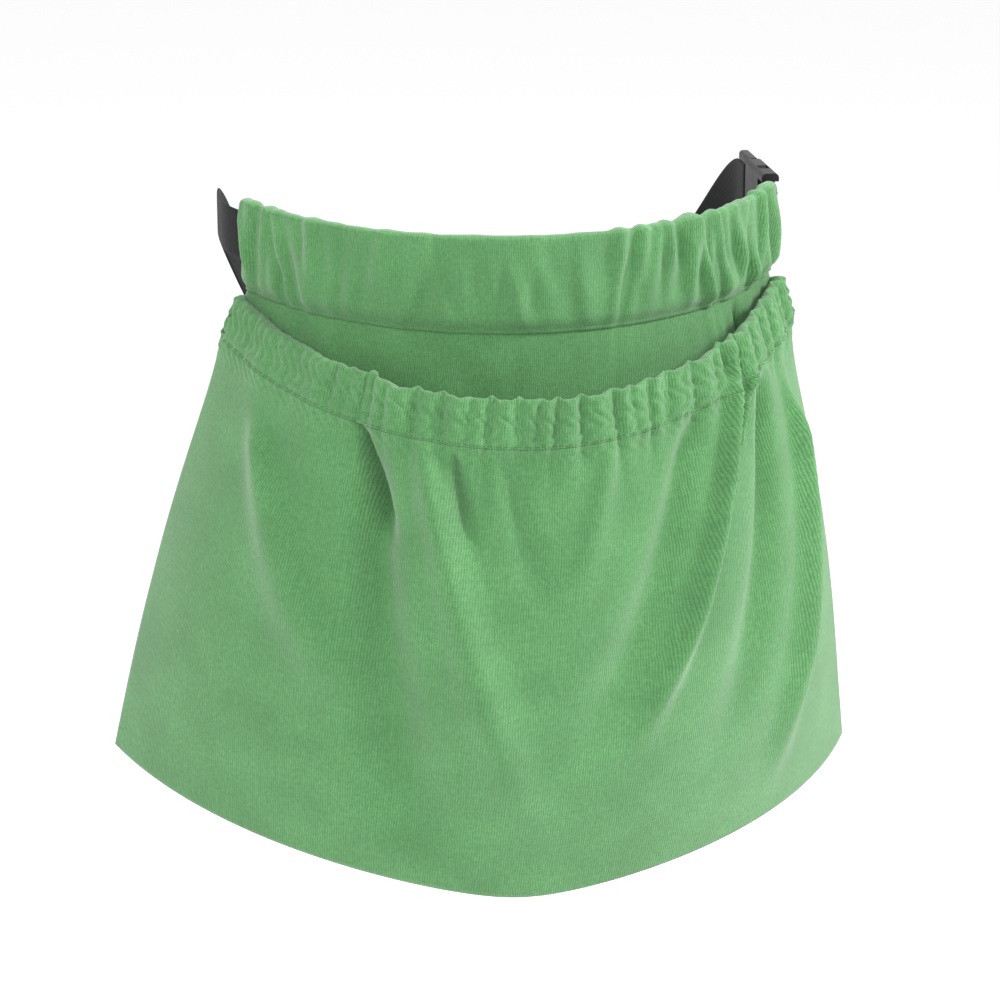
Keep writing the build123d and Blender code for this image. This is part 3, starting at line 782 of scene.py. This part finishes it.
def woven_group():
    """Ribs along one direction crossed by finer threads, with slubs and a brushed nap."""
    inputs = [
        ("Vector", "NodeSocketVector", None),
        ("Rib Pitch", "NodeSocketFloat", 0.0012),
        ("Cross Pitch", "NodeSocketFloat", 0.0009),
        ("Nap", "NodeSocketFloat", 0.5),
    ]
    outputs = [("Height", "NodeSocketFloat"), ("Slub", "NodeSocketFloat")]
    tree, nodes, given, out = group_frame("Woven cloth", inputs, outputs)
    vector = given.outputs["Vector"]
    xyz = nodes.add("ShaderNodeSeparateXYZ", {0: vector})
    drift = nodes.noise(vector, 160.0, 2.0)
    wander = nodes.math("MULTIPLY", nodes.math("SUBTRACT", drift, 0.5), 0.0016)
    heights = []
    for axis, pitch in ((0, "Rib Pitch"), (1, "Cross Pitch")):
        place = nodes.math("ADD", xyz.outputs[axis], wander)
        turns = nodes.math("DIVIDE", place, given.outputs[pitch])
        wave = nodes.math("SINE", nodes.math("MULTIPLY", turns, 2 * pi))
        halved = nodes.math("MULTIPLY_ADD", wave, 0.5)
        halved.node.inputs[2].default_value = 0.5
        heights.append(halved)
    fuzz = nodes.noise(vector, 1500.0, 3.0, 0.7)
    stretch = {0: vector, 1: (1.0, 0.18, 1.0)}
    long_grain = nodes.add("ShaderNodeVectorMath", stretch, operation="MULTIPLY")
    slub = nodes.noise(long_grain.outputs[0], 620.0, 2.0, 0.6)
    ribs = nodes.math("MULTIPLY", heights[0], 0.65)
    threads = nodes.math("MULTIPLY", heights[1], 0.35)
    weave = nodes.math("ADD", ribs, threads)
    napped = nodes.add("ShaderNodeMix", {0: given.outputs["Nap"], 2: weave, 3: fuzz}, data_type="FLOAT")
    nodes.link(napped.outputs[0], out.inputs["Height"])
    nodes.link(slub, out.inputs["Slub"])
    return tree


def mottle_and_groove_shade_group():
    """Slow and quick variation of a colour, as in dyed cloth, plus painted shade that darkens the weave's
    low grooves.
    """
    inputs = [
        ("Vector", "NodeSocketVector", None),
        ("Colour", "NodeSocketColor", (0.1, 0.3, 0.1, 1.0)),
        ("Shade", "NodeSocketColor", (0.08, 0.25, 0.08, 1.0)),
        ("Light", "NodeSocketColor", (0.13, 0.35, 0.13, 1.0)),
        ("Weave", "NodeSocketFloat", 0.5),
        ("Slub", "NodeSocketFloat", 0.5),
    ]
    tree, nodes, given, out = group_frame("Mottled dye", inputs, [("Color", "NodeSocketColor")])
    slow = nodes.noise(given.outputs["Vector"], 26.0, 3.0)
    quick = nodes.noise(given.outputs["Vector"], 420.0, 2.0, 0.6)
    slow_share = nodes.add("ShaderNodeMapRange", {0: slow, 1: 0.35, 2: 0.70})
    quick_share = nodes.add("ShaderNodeMapRange", {0: quick, 1: 0.35, 2: 0.75, 4: 0.55})
    base = nodes.mix(slow_share.outputs[0], given.outputs["Colour"], given.outputs["Light"])
    base = nodes.mix(quick_share.outputs[0], base, given.outputs["Shade"])
    # Painted shade: where the weave is low, in its grooves, the colour is darkened towards the Shade
    # colour.
    low = nodes.add("ShaderNodeMapRange", {0: given.outputs["Weave"], 1: 0.25, 2: 0.6, 3: 0.85, 4: 0.0})
    base = nodes.mix(low.outputs[0], base, given.outputs["Shade"])
    thick = nodes.add("ShaderNodeMapRange", {0: given.outputs["Slub"], 1: 0.55, 2: 0.85, 4: 0.5})
    base = nodes.mix(thick.outputs[0], base, given.outputs["Light"])
    nodes.link(base, out.inputs["Color"])
    return tree


def start_material(name):
    """A new material, its nodes and its Principled shader."""
    material = bpy.data.materials.new(name)
    material.use_nodes = True
    return material, Nodes(material.node_tree), material.node_tree.nodes["Principled BSDF"]


def shaded(colour, factor):
    return tuple(c * factor for c in colour[:3]) + (1.0,)


def cloth_material(name, groups, colour, rib, cross, nap, relief, rough, sheen, uv=True, contrast=1.0):
    """Woven, mottled cloth with painted shade in the weave's grooves. Its pattern follows the piece's own
    map, or the object where it has none.
    """
    material, nodes, shader = start_material(name)
    if uv:
        vector = nodes.add("ShaderNodeUVMap", uv_map="cloth").outputs[0]
    else:
        vector = nodes.add("ShaderNodeTexCoord").outputs["Object"]
    weave = nodes.add("ShaderNodeGroup", node_tree=groups["woven"])
    for key, value in (("Rib Pitch", rib), ("Cross Pitch", cross), ("Nap", nap)):
        weave.inputs[key].default_value = value
    nodes.link(vector, weave.inputs["Vector"])
    # Random mottling of the colour, with painted shade darkening the weave's grooves.
    dye_and_groove_shade = nodes.add("ShaderNodeGroup", node_tree=groups["mottle_and_groove_shade"])
    dye_and_groove_shade.inputs["Colour"].default_value = shaded(colour, 1.0)
    dye_and_groove_shade.inputs["Shade"].default_value = shaded(colour, 1 - 0.34 * contrast)
    dye_and_groove_shade.inputs["Light"].default_value = shaded(colour, 1 + 0.20 * contrast)
    nodes.link(vector, dye_and_groove_shade.inputs["Vector"])
    nodes.link(weave.outputs["Height"], dye_and_groove_shade.inputs["Weave"])
    nodes.link(weave.outputs["Slub"], dye_and_groove_shade.inputs["Slub"])
    nodes.link(dye_and_groove_shade.outputs["Color"], shader.inputs["Base Color"])
    bump_node = nodes.add("ShaderNodeBump", {"Height": weave.outputs["Height"], "Distance": relief})
    bump_node.inputs["Strength"].default_value = 0.6
    nodes.link(bump_node.outputs[0], shader.inputs["Normal"])
    shader.inputs["Roughness"].default_value = rough
    shader.inputs["Sheen Weight"].default_value = sheen
    shader.inputs["Sheen Roughness"].default_value = 0.5
    shader.inputs["Specular IOR Level"].default_value = 0.2
    return material


def plastic_material(name, colour, rough):
    """Moulded plastic with a fine spark-eroded grain."""
    material, nodes, shader = start_material(name)
    place = nodes.add("ShaderNodeTexCoord").outputs["Object"]
    grain = nodes.noise(place, 2400.0, 2.0, 0.6)
    smudge = nodes.noise(place, 90.0, 3.0)
    tint = nodes.mix(smudge, shaded(colour, 0.85), shaded(colour, 1.5))
    nodes.link(tint, shader.inputs["Base Color"])
    shader.inputs["Specular IOR Level"].default_value = 0.25
    gloss = nodes.add("ShaderNodeMapRange", {0: smudge, 3: rough - 0.07, 4: rough + 0.10})
    nodes.link(gloss.outputs[0], shader.inputs["Roughness"])
    bump_node = nodes.add("ShaderNodeBump", {"Height": grain, "Distance": 0.0001})
    bump_node.inputs["Strength"].default_value = 0.35
    nodes.link(bump_node.outputs[0], shader.inputs["Normal"])
    return material


def make_materials(settings):
    groups = {"woven": woven_group(), "mottle_and_groove_shade": mottle_and_groove_shade_group()}
    green = settings.canvas_colour
    black = settings.belt_colour
    thread = {"rib": 0.0004, "cross": 0.0004, "nap": 0.3, "relief": 0.0001, "sheen": 0.2, "uv": False}
    canvas = {"rib": settings.rib_pitch, "cross": 0.0008, "nap": 0.50, "relief": 0.0008, "contrast": 1.4}
    webbing = {"rib": 0.0019, "cross": 0.0011, "nap": 0.12, "relief": 0.0004}
    band = {"rib": 0.0016, "cross": 0.0007, "nap": 0.15, "relief": 0.0004}
    keeper = {"rib": 0.0014, "cross": 0.0007, "nap": 0.15, "relief": 0.0003, "uv": False}
    made = {
        "canvas": cloth_material("brushed canvas", groups, green, rough=0.92, sheen=0.30, **canvas),
        "canvas_thread": cloth_material("canvas thread", groups, shaded(green, 0.62), rough=0.8, **thread),
        "webbing": cloth_material("belt webbing", groups, black, rough=0.8, sheen=0.05, **webbing),
        "belt_thread": cloth_material("belt thread", groups, shaded(black, 1.6), rough=0.7, **thread),
        "elastic": cloth_material("woven elastic", groups, ELASTIC_COLOUR, rough=0.8, sheen=0.1, **band),
        "elastic_black": cloth_material("black elastic", groups, black, rough=0.75, sheen=0.2, **keeper),
        "buckle_plastic": plastic_material("buckle plastic", settings.buckle_colour, 0.42),
    }
    for slot_name, material in made.items():
        material["slot"] = slot_name
    return made


def slot_material(slot_name):
    for material in bpy.data.materials:
        if material.get("slot") == slot_name:
            return material
    raise RuntimeError(f"no material for {slot_name}; make the materials first")


# ---- stitches
def stitch_tree():
    """Lays one short thread after another along each polyline."""
    tree = bpy.data.node_groups.new("Row of stitches", "GeometryNodeTree")
    new_socket(tree, "Geometry", "NodeSocketGeometry")
    new_socket(tree, "Pitch", "NodeSocketFloat", 0.003)
    new_socket(tree, "Length", "NodeSocketFloat", 0.0024)
    new_socket(tree, "Thread", "NodeSocketFloat", 0.0007)
    new_socket(tree, "Material", "NodeSocketMaterial")
    new_socket(tree, "Geometry", "NodeSocketGeometry", output=True)
    nodes = Nodes(tree)
    given = nodes.add("NodeGroupInput")
    curve = nodes.add("GeometryNodeMeshToCurve", {"Mesh": given.outputs["Geometry"]})
    spaced = nodes.add("GeometryNodeResampleCurve", {"Curve": curve.outputs[0]}, mode="LENGTH")
    nodes.link(given.outputs["Pitch"], spaced.inputs["Length"])
    along = nodes.add("GeometryNodeInputTangent")
    turned = nodes.add("FunctionNodeAlignRotationToVector", {"Vector": along.outputs[0]}, axis="Z")
    ball = nodes.add("GeometryNodeMeshUVSphere", {"Segments": 8, "Rings": 5, "Radius": 0.5})
    size = nodes.add("ShaderNodeCombineXYZ", {0: given.outputs["Thread"], 1: given.outputs["Thread"]})
    nodes.link(given.outputs["Length"], size.inputs[2])
    scaled = {"Geometry": ball.outputs["Mesh"], "Scale": size.outputs[0]}
    stitch = nodes.add("GeometryNodeTransform", scaled)
    set_out = {"Points": spaced.outputs[0], "Instance": stitch.outputs[0]}
    placed = nodes.add("GeometryNodeInstanceOnPoints", set_out)
    nodes.link(turned.outputs[0], placed.inputs["Rotation"])
    real = nodes.add("GeometryNodeRealizeInstances", {"Geometry": placed.outputs[0]})
    smooth_faces = nodes.add("GeometryNodeSetShadeSmooth", {"Geometry": real.outputs[0]})
    coloured = nodes.add("GeometryNodeSetMaterial", {"Geometry": smooth_faces.outputs[0]})
    nodes.link(given.outputs["Material"], coloured.inputs["Material"])
    out = nodes.add("NodeGroupOutput")
    nodes.link(coloured.outputs[0], out.inputs[0])
    return tree


def polylines_mesh(name, lines):
    """Mesh of edges only, one chain for each line of points."""
    points = np.concatenate(lines)
    edges = []
    start = 0
    for line in lines:
        edges += [(start + i, start + i + 1) for i in range(len(line) - 1)]
        start += len(line)
    mesh = bpy.data.meshes.new(name)
    mesh.from_pydata(points.tolist(), edges, [])
    return mesh


def set_input(modifier, name, value):
    for item in modifier.node_group.interface.items_tree:
        if item.item_type == "SOCKET" and item.in_out == "INPUT" and item.name == name:
            modifier[item.identifier] = value
            return
    raise RuntimeError(f"the tree has no input {name}")


def stitch_rows(name, lines, material, settings, thread):
    """One plain mesh of stitches along these lines."""
    piece = add_object(name, polylines_mesh(name, lines))
    rows = piece.modifiers.new("stitches", "NODES")
    rows.node_group = bpy.data.node_groups.get("Row of stitches") or stitch_tree()
    set_input(rows, "Pitch", settings.stitch_pitch)
    set_input(rows, "Length", settings.stitch_pitch * STITCH_SHARE)
    set_input(rows, "Thread", thread)
    set_input(rows, "Material", material)
    keep_modifiers(piece)
    return piece


def waist_stitch_line(settings):
    s = np.linspace(-WAIST_SEAM_END, WAIST_SEAM_END, 400) * CASING_HALF_LENGTH
    u = s / CASING_HALF_LENGTH
    z = casing_hem_z(u) + WAIST_STITCH_HEIGHT
    pleats = waist_pleats(s, z, waist_folds()) * settings.gather
    return waist_point(s, z, waist_face(WAIST_STITCH_HEIGHT, pleats) + CANVAS / 2)


def seam_line(u, v):
    """Line between the two panels, where their turned edges are sewn together."""
    return raised(front_surface, u, v, side_close(u, v) - SEAM_STACK / 2)


def pouch_line(u, depth, settings):
    v = depth * front_v_at(u, 1.0)
    height = outer_layer(u, depth, mouth_pleats(), settings) * smooth((1 - v) / 0.02 + 0.05)
    return raised(front_surface, u, v, height + side_close(u, v) + CANVAS / 2)


# ---- settings and operators
def colour_setting(name, description, default):
    return bpy.props.FloatVectorProperty(
        name=name, description=description, subtype="COLOR", size=3, min=0.0, max=1.0, default=default
    )


class PickingBagSettings(bpy.types.PropertyGroup):
    """Sizes and colours that a user would change."""

    canvas_colour: colour_setting("Canvas colour", "Dye of the bag's canvas", (0.098, 0.270, 0.098))
    belt_colour: colour_setting("Belt colour", "Colour of the webbing", (0.0060, 0.0065, 0.0068))
    buckle_colour: colour_setting(
        "Buckle colour", "Colour of the moulded buckle and slider", (0.0075, 0.0075, 0.0080)
    )
    rib_pitch: bpy.props.FloatProperty(
        name="Rib pitch",
        description="Distance between the canvas's ribs",
        unit="LENGTH",
        default=0.0013,
        min=0.0004,
    )
    stitch_pitch: bpy.props.FloatProperty(
        name="Stitch pitch",
        description="Distance from one stitch to the next",
        unit="LENGTH",
        default=0.0030,
        min=0.0010,
    )
    gather: bpy.props.FloatProperty(
        name="Gather",
        description="Depth of the gathers and folds, 1 for the full depth",
        subtype="FACTOR",
        default=1.0,
        min=0.0,
        max=1.5,
    )
    light_power: bpy.props.FloatProperty(
        name="Key light",
        description="Power of the soft key light",
        unit="POWER",
        default=46.0,
        min=0.0,
    )


def settings_of(context):
    return context.scene.picking_bag


class PICKINGBAG_OT_stage(bpy.types.Operator):
    """Make the floor, the lights and the camera"""

    bl_idname = "picking_bag.make_stage"
    bl_label = "Stage"

    def execute(self, context):
        settings = settings_of(context)
        make_floor()
        make_lights(settings)
        make_camera()
        return {"FINISHED"}


class PICKINGBAG_OT_materials(bpy.types.Operator):
    """Make the bag's materials and give them to the CAD nodes that stay"""

    bl_idname = "picking_bag.make_materials"
    bl_label = "Materials"

    def execute(self, context):
        made = make_materials(settings_of(context))
        for part in frame["record"]["subparts"]:
            node = frame["nodes"][part["node"]]
            node.data.materials.clear()
            node.data.materials.append(made[part["material_slot"]])
        return {"FINISHED"}


class PICKINGBAG_OT_waist_casing(bpy.types.Operator):
    """Make the gathered casing that the belt runs through"""

    bl_idname = "picking_bag.make_waist_casing"
    bl_label = "Waist casing"

    def execute(self, context):
        made = make_waist_casing_points(settings_of(context))
        piece, area = add_cloth("gathered_waist_casing", made, slot_material("canvas"), folded=True)
        finish_piece(piece, ["waist_casing"])
        declare_sheet(piece, area, CASING_CLOTH)
        return {"FINISHED"}


class PICKINGBAG_OT_back_panel(bpy.types.Operator):
    """Make the back of the pouch"""

    bl_idname = "picking_bag.make_back_panel"
    bl_label = "Back panel"

    def execute(self, context):
        made = make_back_points(settings_of(context))
        piece, area = add_cloth("hanging_back_panel", made, slot_material("canvas"))
        finish_piece(piece, ["back_panel"])
        declare_sheet(piece, area, BACK_CLOTH)
        return {"FINISHED"}


class PICKINGBAG_OT_pouch_front(bpy.types.Operator):
    """Make the front of the pouch, its gathered mouth casing and the elastic inside it"""

    bl_idname = "picking_bag.make_pouch_front"
    bl_label = "Pouch front"

    def execute(self, context):
        settings = settings_of(context)
        canvas = slot_material("canvas")
        front, front_area = add_cloth("draped_front_panel", make_front_points(settings), canvas)
        mouth_made = make_mouth_points(settings)
        casing, casing_area = add_cloth("gathered_mouth_casing", mouth_made, canvas, folded=True)
        elastic = add_elastic(slot_material("elastic"))
        for piece, slot_name, nodes in (
            (front, "canvas", ["front_panel"]),
            (casing, "canvas", ["mouth_casing"]),
            (elastic, "elastic", ["mouth_elastic"]),
        ):
            finish_piece(piece, nodes, across_mouth=True)
        declare_sheet(front, front_area, FRONT_CLOTH)
        declare_sheet(casing, casing_area, MOUTH_CLOTH)
        return {"FINISHED"}


class PICKINGBAG_OT_belt(bpy.types.Operator):
    """Make the webbing of the belt, front and rear, with its folded ends"""

    bl_idname = "picking_bag.make_belt"
    bl_label = "Belt webbing"

    def execute(self, context):
        webbing = slot_material("webbing")
        make_front_strap(webbing)
        make_rear_strap(webbing)
        return {"FINISHED"}


class PICKINGBAG_OT_stitching(bpy.types.Operator):
    """Sew the casings, the seams and the belt's fold"""

    bl_idname = "picking_bag.make_stitching"
    bl_label = "Stitching"

    def execute(self, context):
        settings = settings_of(context)
        thread = slot_material("canvas_thread")
        waist_line = [waist_stitch_line(settings)]
        waist_rows = stitch_rows("waist_stitches", waist_line, thread, settings, WAIST_THREAD)
        finish_piece(waist_rows, ["waist_casing_stitching"])
        pouch_lines = pouch_stitch_lines(settings)
        pouch_rows = stitch_rows("pouch_stitches", pouch_lines, thread, settings, POUCH_THREAD)
        nodes = ["mouth_casing_stitching", "side_seam_stitching_left", "side_seam_stitching_right"]
        nodes += ["bottom_seam_stitching", "mouth_corner_tacks"]
        finish_piece(pouch_rows, nodes, across_mouth=True)
        belt_thread = slot_material("belt_thread")
        box_rows = stitch_rows("belt_stitches", box_stitch_lines(), belt_thread, settings, BELT_THREAD)
        finish_piece(box_rows, ["belt_box_stitch"])
        return {"FINISHED"}


class PICKINGBAG_PT_panel(bpy.types.Panel):
    """Lists the bag's settings and the steps that make it"""

    bl_label = "Picking bag"
    bl_idname = "PICKINGBAG_PT_panel"
    bl_space_type = "VIEW_3D"
    bl_region_type = "UI"
    bl_category = "Picking bag"

    def draw(self, context):
        settings = settings_of(context)
        for name in PickingBagSettings.__annotations__:
            self.layout.prop(settings, name)
        for operator in OPERATORS:
            self.layout.operator(operator.bl_idname)


OPERATORS = (
    PICKINGBAG_OT_stage,
    PICKINGBAG_OT_materials,
    PICKINGBAG_OT_waist_casing,
    PICKINGBAG_OT_back_panel,
    PICKINGBAG_OT_pouch_front,
    PICKINGBAG_OT_belt,
    PICKINGBAG_OT_stitching,
)
CLASSES = (PickingBagSettings, *OPERATORS, PICKINGBAG_PT_panel)


# ---- what the operators call
def finish_piece(piece, nodes, body="bag_back", across_mouth=False):
    """Attaches a piece to its body, or bakes its transform when it lies across the mouth, and hides the CAD
    nodes that it stands for.
    """
    if across_mouth:
        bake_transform(piece)
    else:
        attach(piece, body)
    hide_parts(*nodes)


def declare_sheet(piece, area, flat):
    """Raises an error when a gathered sheet's area, measured before it got its thickness, is far from the
    area of its flat cut.
    """
    width, length = flat
    if not 0.7 < area / (width * length) < 1.6:
        raise RuntimeError(f"{piece.name} measures {area:.4f} square metres, far from its cut")


def add_elastic(material):
    """The band inside the mouth casing, which follows the casing's middle."""
    u = np.linspace(-MOUTH_END, MOUTH_END, 400)
    v = ELASTIC_DEPTH * front_v_at(u, 1.0)
    middles = raised(front_surface, u, v, side_close(u, v))
    lower = raised(front_surface, u, v + 0.01, 0 * u)
    wides = unit(middles - lower)
    outs = outs_along(middles, wides)
    return add_strap("mouth_elastic_band", middles, wides, outs, material, ELASTIC_WIDTH, ELASTIC_THICKNESS)


def make_front_strap(material):
    bar_s = waist_length_at(SOCKET_BAR_Y)
    left_s = -waist_length_at(HINGE_Y)
    run = waist_point(np.linspace(left_s, bar_s, 260), 0.0, np.zeros(260))
    middles = np.concatenate([run, bar_wrap(SOCKET_BAR_Y, 1)[1:]])
    wides = upright(len(middles))
    front = add_strap("belt_front_strap", middles, wides, outs_along(middles, wides), material)
    finish_piece(front, ["belt_webbing_front"])
    s = np.linspace(bar_s, bar_s - FOLD_LENGTH, 40)
    away = smooth((s - bar_s + FOLD_EASE) / FOLD_EASE)
    fold_run = waist_point(s, 0 * s, -LAID_OFFSET - (FOLD_OFFSET - LAID_OFFSET) * away)
    wides = upright(len(fold_run))
    fold = add_strap("belt_front_strap_fold", fold_run, wides, outs_along(fold_run, wides), material)
    finish_piece(fold, ["belt_front_fold"])


def rear_line(ts, offset):
    point, wide, out = rear_frame(ts)
    return point + out * np.asarray(offset)[..., None], wide


def add_rear_strap(name, middles, wides, material, nodes):
    piece = add_strap(name, middles, wides, outs_along(middles, wides), material)
    finish_piece(piece, nodes, body="belt_rear")


def make_rear_strap(material):
    first = (WEBBING_THICKNESS / 2 + HINGE_GAP) / (2 * pi * REAR_REACH)
    ts = np.linspace(first, 1, 260)
    middles, wides = rear_line(ts, 0 * ts)
    straight = stack(np.full(5, REAR_END_X), np.linspace(REAR_END_Y, PLUG_BAR_Y, 6)[1:], np.zeros(5))
    wrap = bar_wrap(PLUG_BAR_Y, -1)[::-1][1:]
    middles = np.concatenate([middles, straight, wrap])
    wides = np.concatenate([wides, upright(len(straight) + len(wrap))])
    add_rear_strap("belt_rear_strap", middles, wides, material, ["belt_webbing_rear"])
    ts = np.linspace(1, rear_t_at(TAIL_END_X), 180)
    from_plug = (1 - ts) * pi * REAR_REACH * 2
    offset = TAIL_OFFSET + (FOLD_OFFSET - TAIL_OFFSET) * (1 - smooth(from_plug / (2 * FOLD_EASE)))
    laid, laid_wides = rear_line(ts, offset)
    straight = stack(np.full(5, WAIST_HALF_WIDTH), np.linspace(PLUG_BAR_Y, REAR_END_Y, 6)[:-1], np.zeros(5))
    middles = np.concatenate([straight, laid])
    wides = np.concatenate([upright(len(straight)), laid_wides])
    add_rear_strap("belt_tail_strap", middles, wides, material, ["belt_tail"])
    ts = np.linspace(rear_t_at(TAIL_END_X), rear_t_at(TAIL_END_X + TAIL_FOLD_LENGTH), 24)
    middles, wides = rear_line(ts, TAIL_OFFSET + LAID_OFFSET + 0 * ts)
    add_rear_strap("belt_tail_strap_fold", middles, wides, material, ["belt_tail_fold"])


def pouch_stitch_lines(settings):
    """The mouth casing's seam, the side and bottom seams, and a bar tack at each end of the mouth."""
    u = np.linspace(-MOUTH_END, MOUTH_END, 900)
    lines = [pouch_line(u, MOUTH_STITCH_DEPTH + 0 * u, settings)]
    edge = 1 - SEAM_INSET / HEM_HALF_WIDTH
    turned = 1 - TURNED_EDGE / HEM_HALF_WIDTH
    for side in (-1, 1):
        v = np.linspace(0.14, 0.99, 160)
        lines.append(seam_line(np.full(len(v), side * turned), v))
    u = np.linspace(-turned, turned, 500)
    lines.append(seam_line(u, 1 - TURNED_EDGE * front_v_at(u, 1.0)))
    for side in (-1, 1):
        for shift in (-2, -1, 0, 1, 2):
            depth = np.linspace(TACK_TOP, TACK_FOOT, 12)
            tack_u = side * edge + shift * TACK_ROW_PITCH / HEM_HALF_WIDTH
            lines.append(pouch_line(np.full(12, tack_u), depth, settings))
    return lines


def box_stitch_lines():
    """Four sides of the box that sews the belt's folded end."""
    far = waist_length_at(SOCKET_BAR_Y) - FOLD_LENGTH + BOX_END_MARGIN
    near = far + BOX_LENGTH
    half = WEBBING_WIDTH / 2 - BOX_EDGE_MARGIN
    level = WEBBING_THICKNESS / 2 + THREAD_LIFT
    corners = [(far, -half), (near, -half), (near, half), (far, half), (far, -half)]
    lines = []
    for (s0, z0), (s1, z1) in zip(corners, corners[1:]):
        s = np.linspace(s0, s1, 12)
        lines.append(waist_point(s, np.linspace(z0, z1, 12), level + 0 * s))
    return lines


def make_floor():
    mesh = bpy.data.meshes.new("studio_floor")
    shape = bmesh.new()
    bmesh.ops.create_grid(shape, x_segments=2, y_segments=2, size=FLOOR_SIZE)
    shape.to_mesh(mesh)
    shape.free()
    material, _, shader = start_material("pale floor")
    shader.inputs["Base Color"].default_value = FLOOR_COLOUR
    shader.inputs["Roughness"].default_value = 0.9
    floor = add_piece("studio_floor", mesh, material)
    floor.location.z = FLOOR_Z


def aim(thing, target):
    direction = Vector(target) - thing.location
    thing.rotation_euler = direction.to_track_quat("-Z", "Y").to_euler()


def make_area_light(name, place, size, power):
    data = bpy.data.lights.new(name, "AREA")
    data.shape = "SQUARE"
    data.size = size
    data.energy = power
    light = add_object(name, data)
    light.location = place
    aim(light, CAMERA_TARGET)


def make_lights(settings):
    for name, place, size, share in LIGHTS:
        make_area_light(name, place, size, settings.light_power * share)
    world = bpy.data.worlds.new("white studio")
    world.use_nodes = True
    background = world.node_tree.nodes["Background"]
    background.inputs["Color"].default_value = (1.0, 1.0, 1.0, 1.0)
    background.inputs["Strength"].default_value = 1.0
    bpy.context.scene.world = world


def make_camera():
    data = bpy.data.cameras.new("camera")
    data.sensor_width = SENSOR_WIDTH
    data.lens = SENSOR_WIDTH * CAMERA_DISTANCE / CAMERA_WIDTH
    camera = add_object("camera", data)
    turn = CAMERA_AZIMUTH
    rise = CAMERA_ELEVATION
    back = Vector((sin(turn) * cos(rise), -cos(turn) * cos(rise), sin(rise)))
    camera.location = Vector(CAMERA_TARGET) + back * CAMERA_DISTANCE
    aim(camera, CAMERA_TARGET)
    bpy.context.scene.camera = camera


# ---- the whole bag
def register():
    for item in CLASSES:
        bpy.utils.register_class(item)
    bpy.types.Scene.picking_bag = bpy.props.PointerProperty(type=PickingBagSettings)


def unregister():
    del bpy.types.Scene.picking_bag
    for item in reversed(CLASSES):
        bpy.utils.unregister_class(item)


def main():
    register()
    bpy.ops.picking_bag.make_stage()
    bpy.ops.picking_bag.make_materials()
    bpy.ops.picking_bag.make_waist_casing()
    bpy.ops.picking_bag.make_back_panel()
    bpy.ops.picking_bag.make_pouch_front()
    bpy.ops.picking_bag.make_belt()
    bpy.ops.picking_bag.make_stitching()
    bpy.context.scene.view_settings.view_transform = "Standard"


if __name__ == "__main__":
    main()
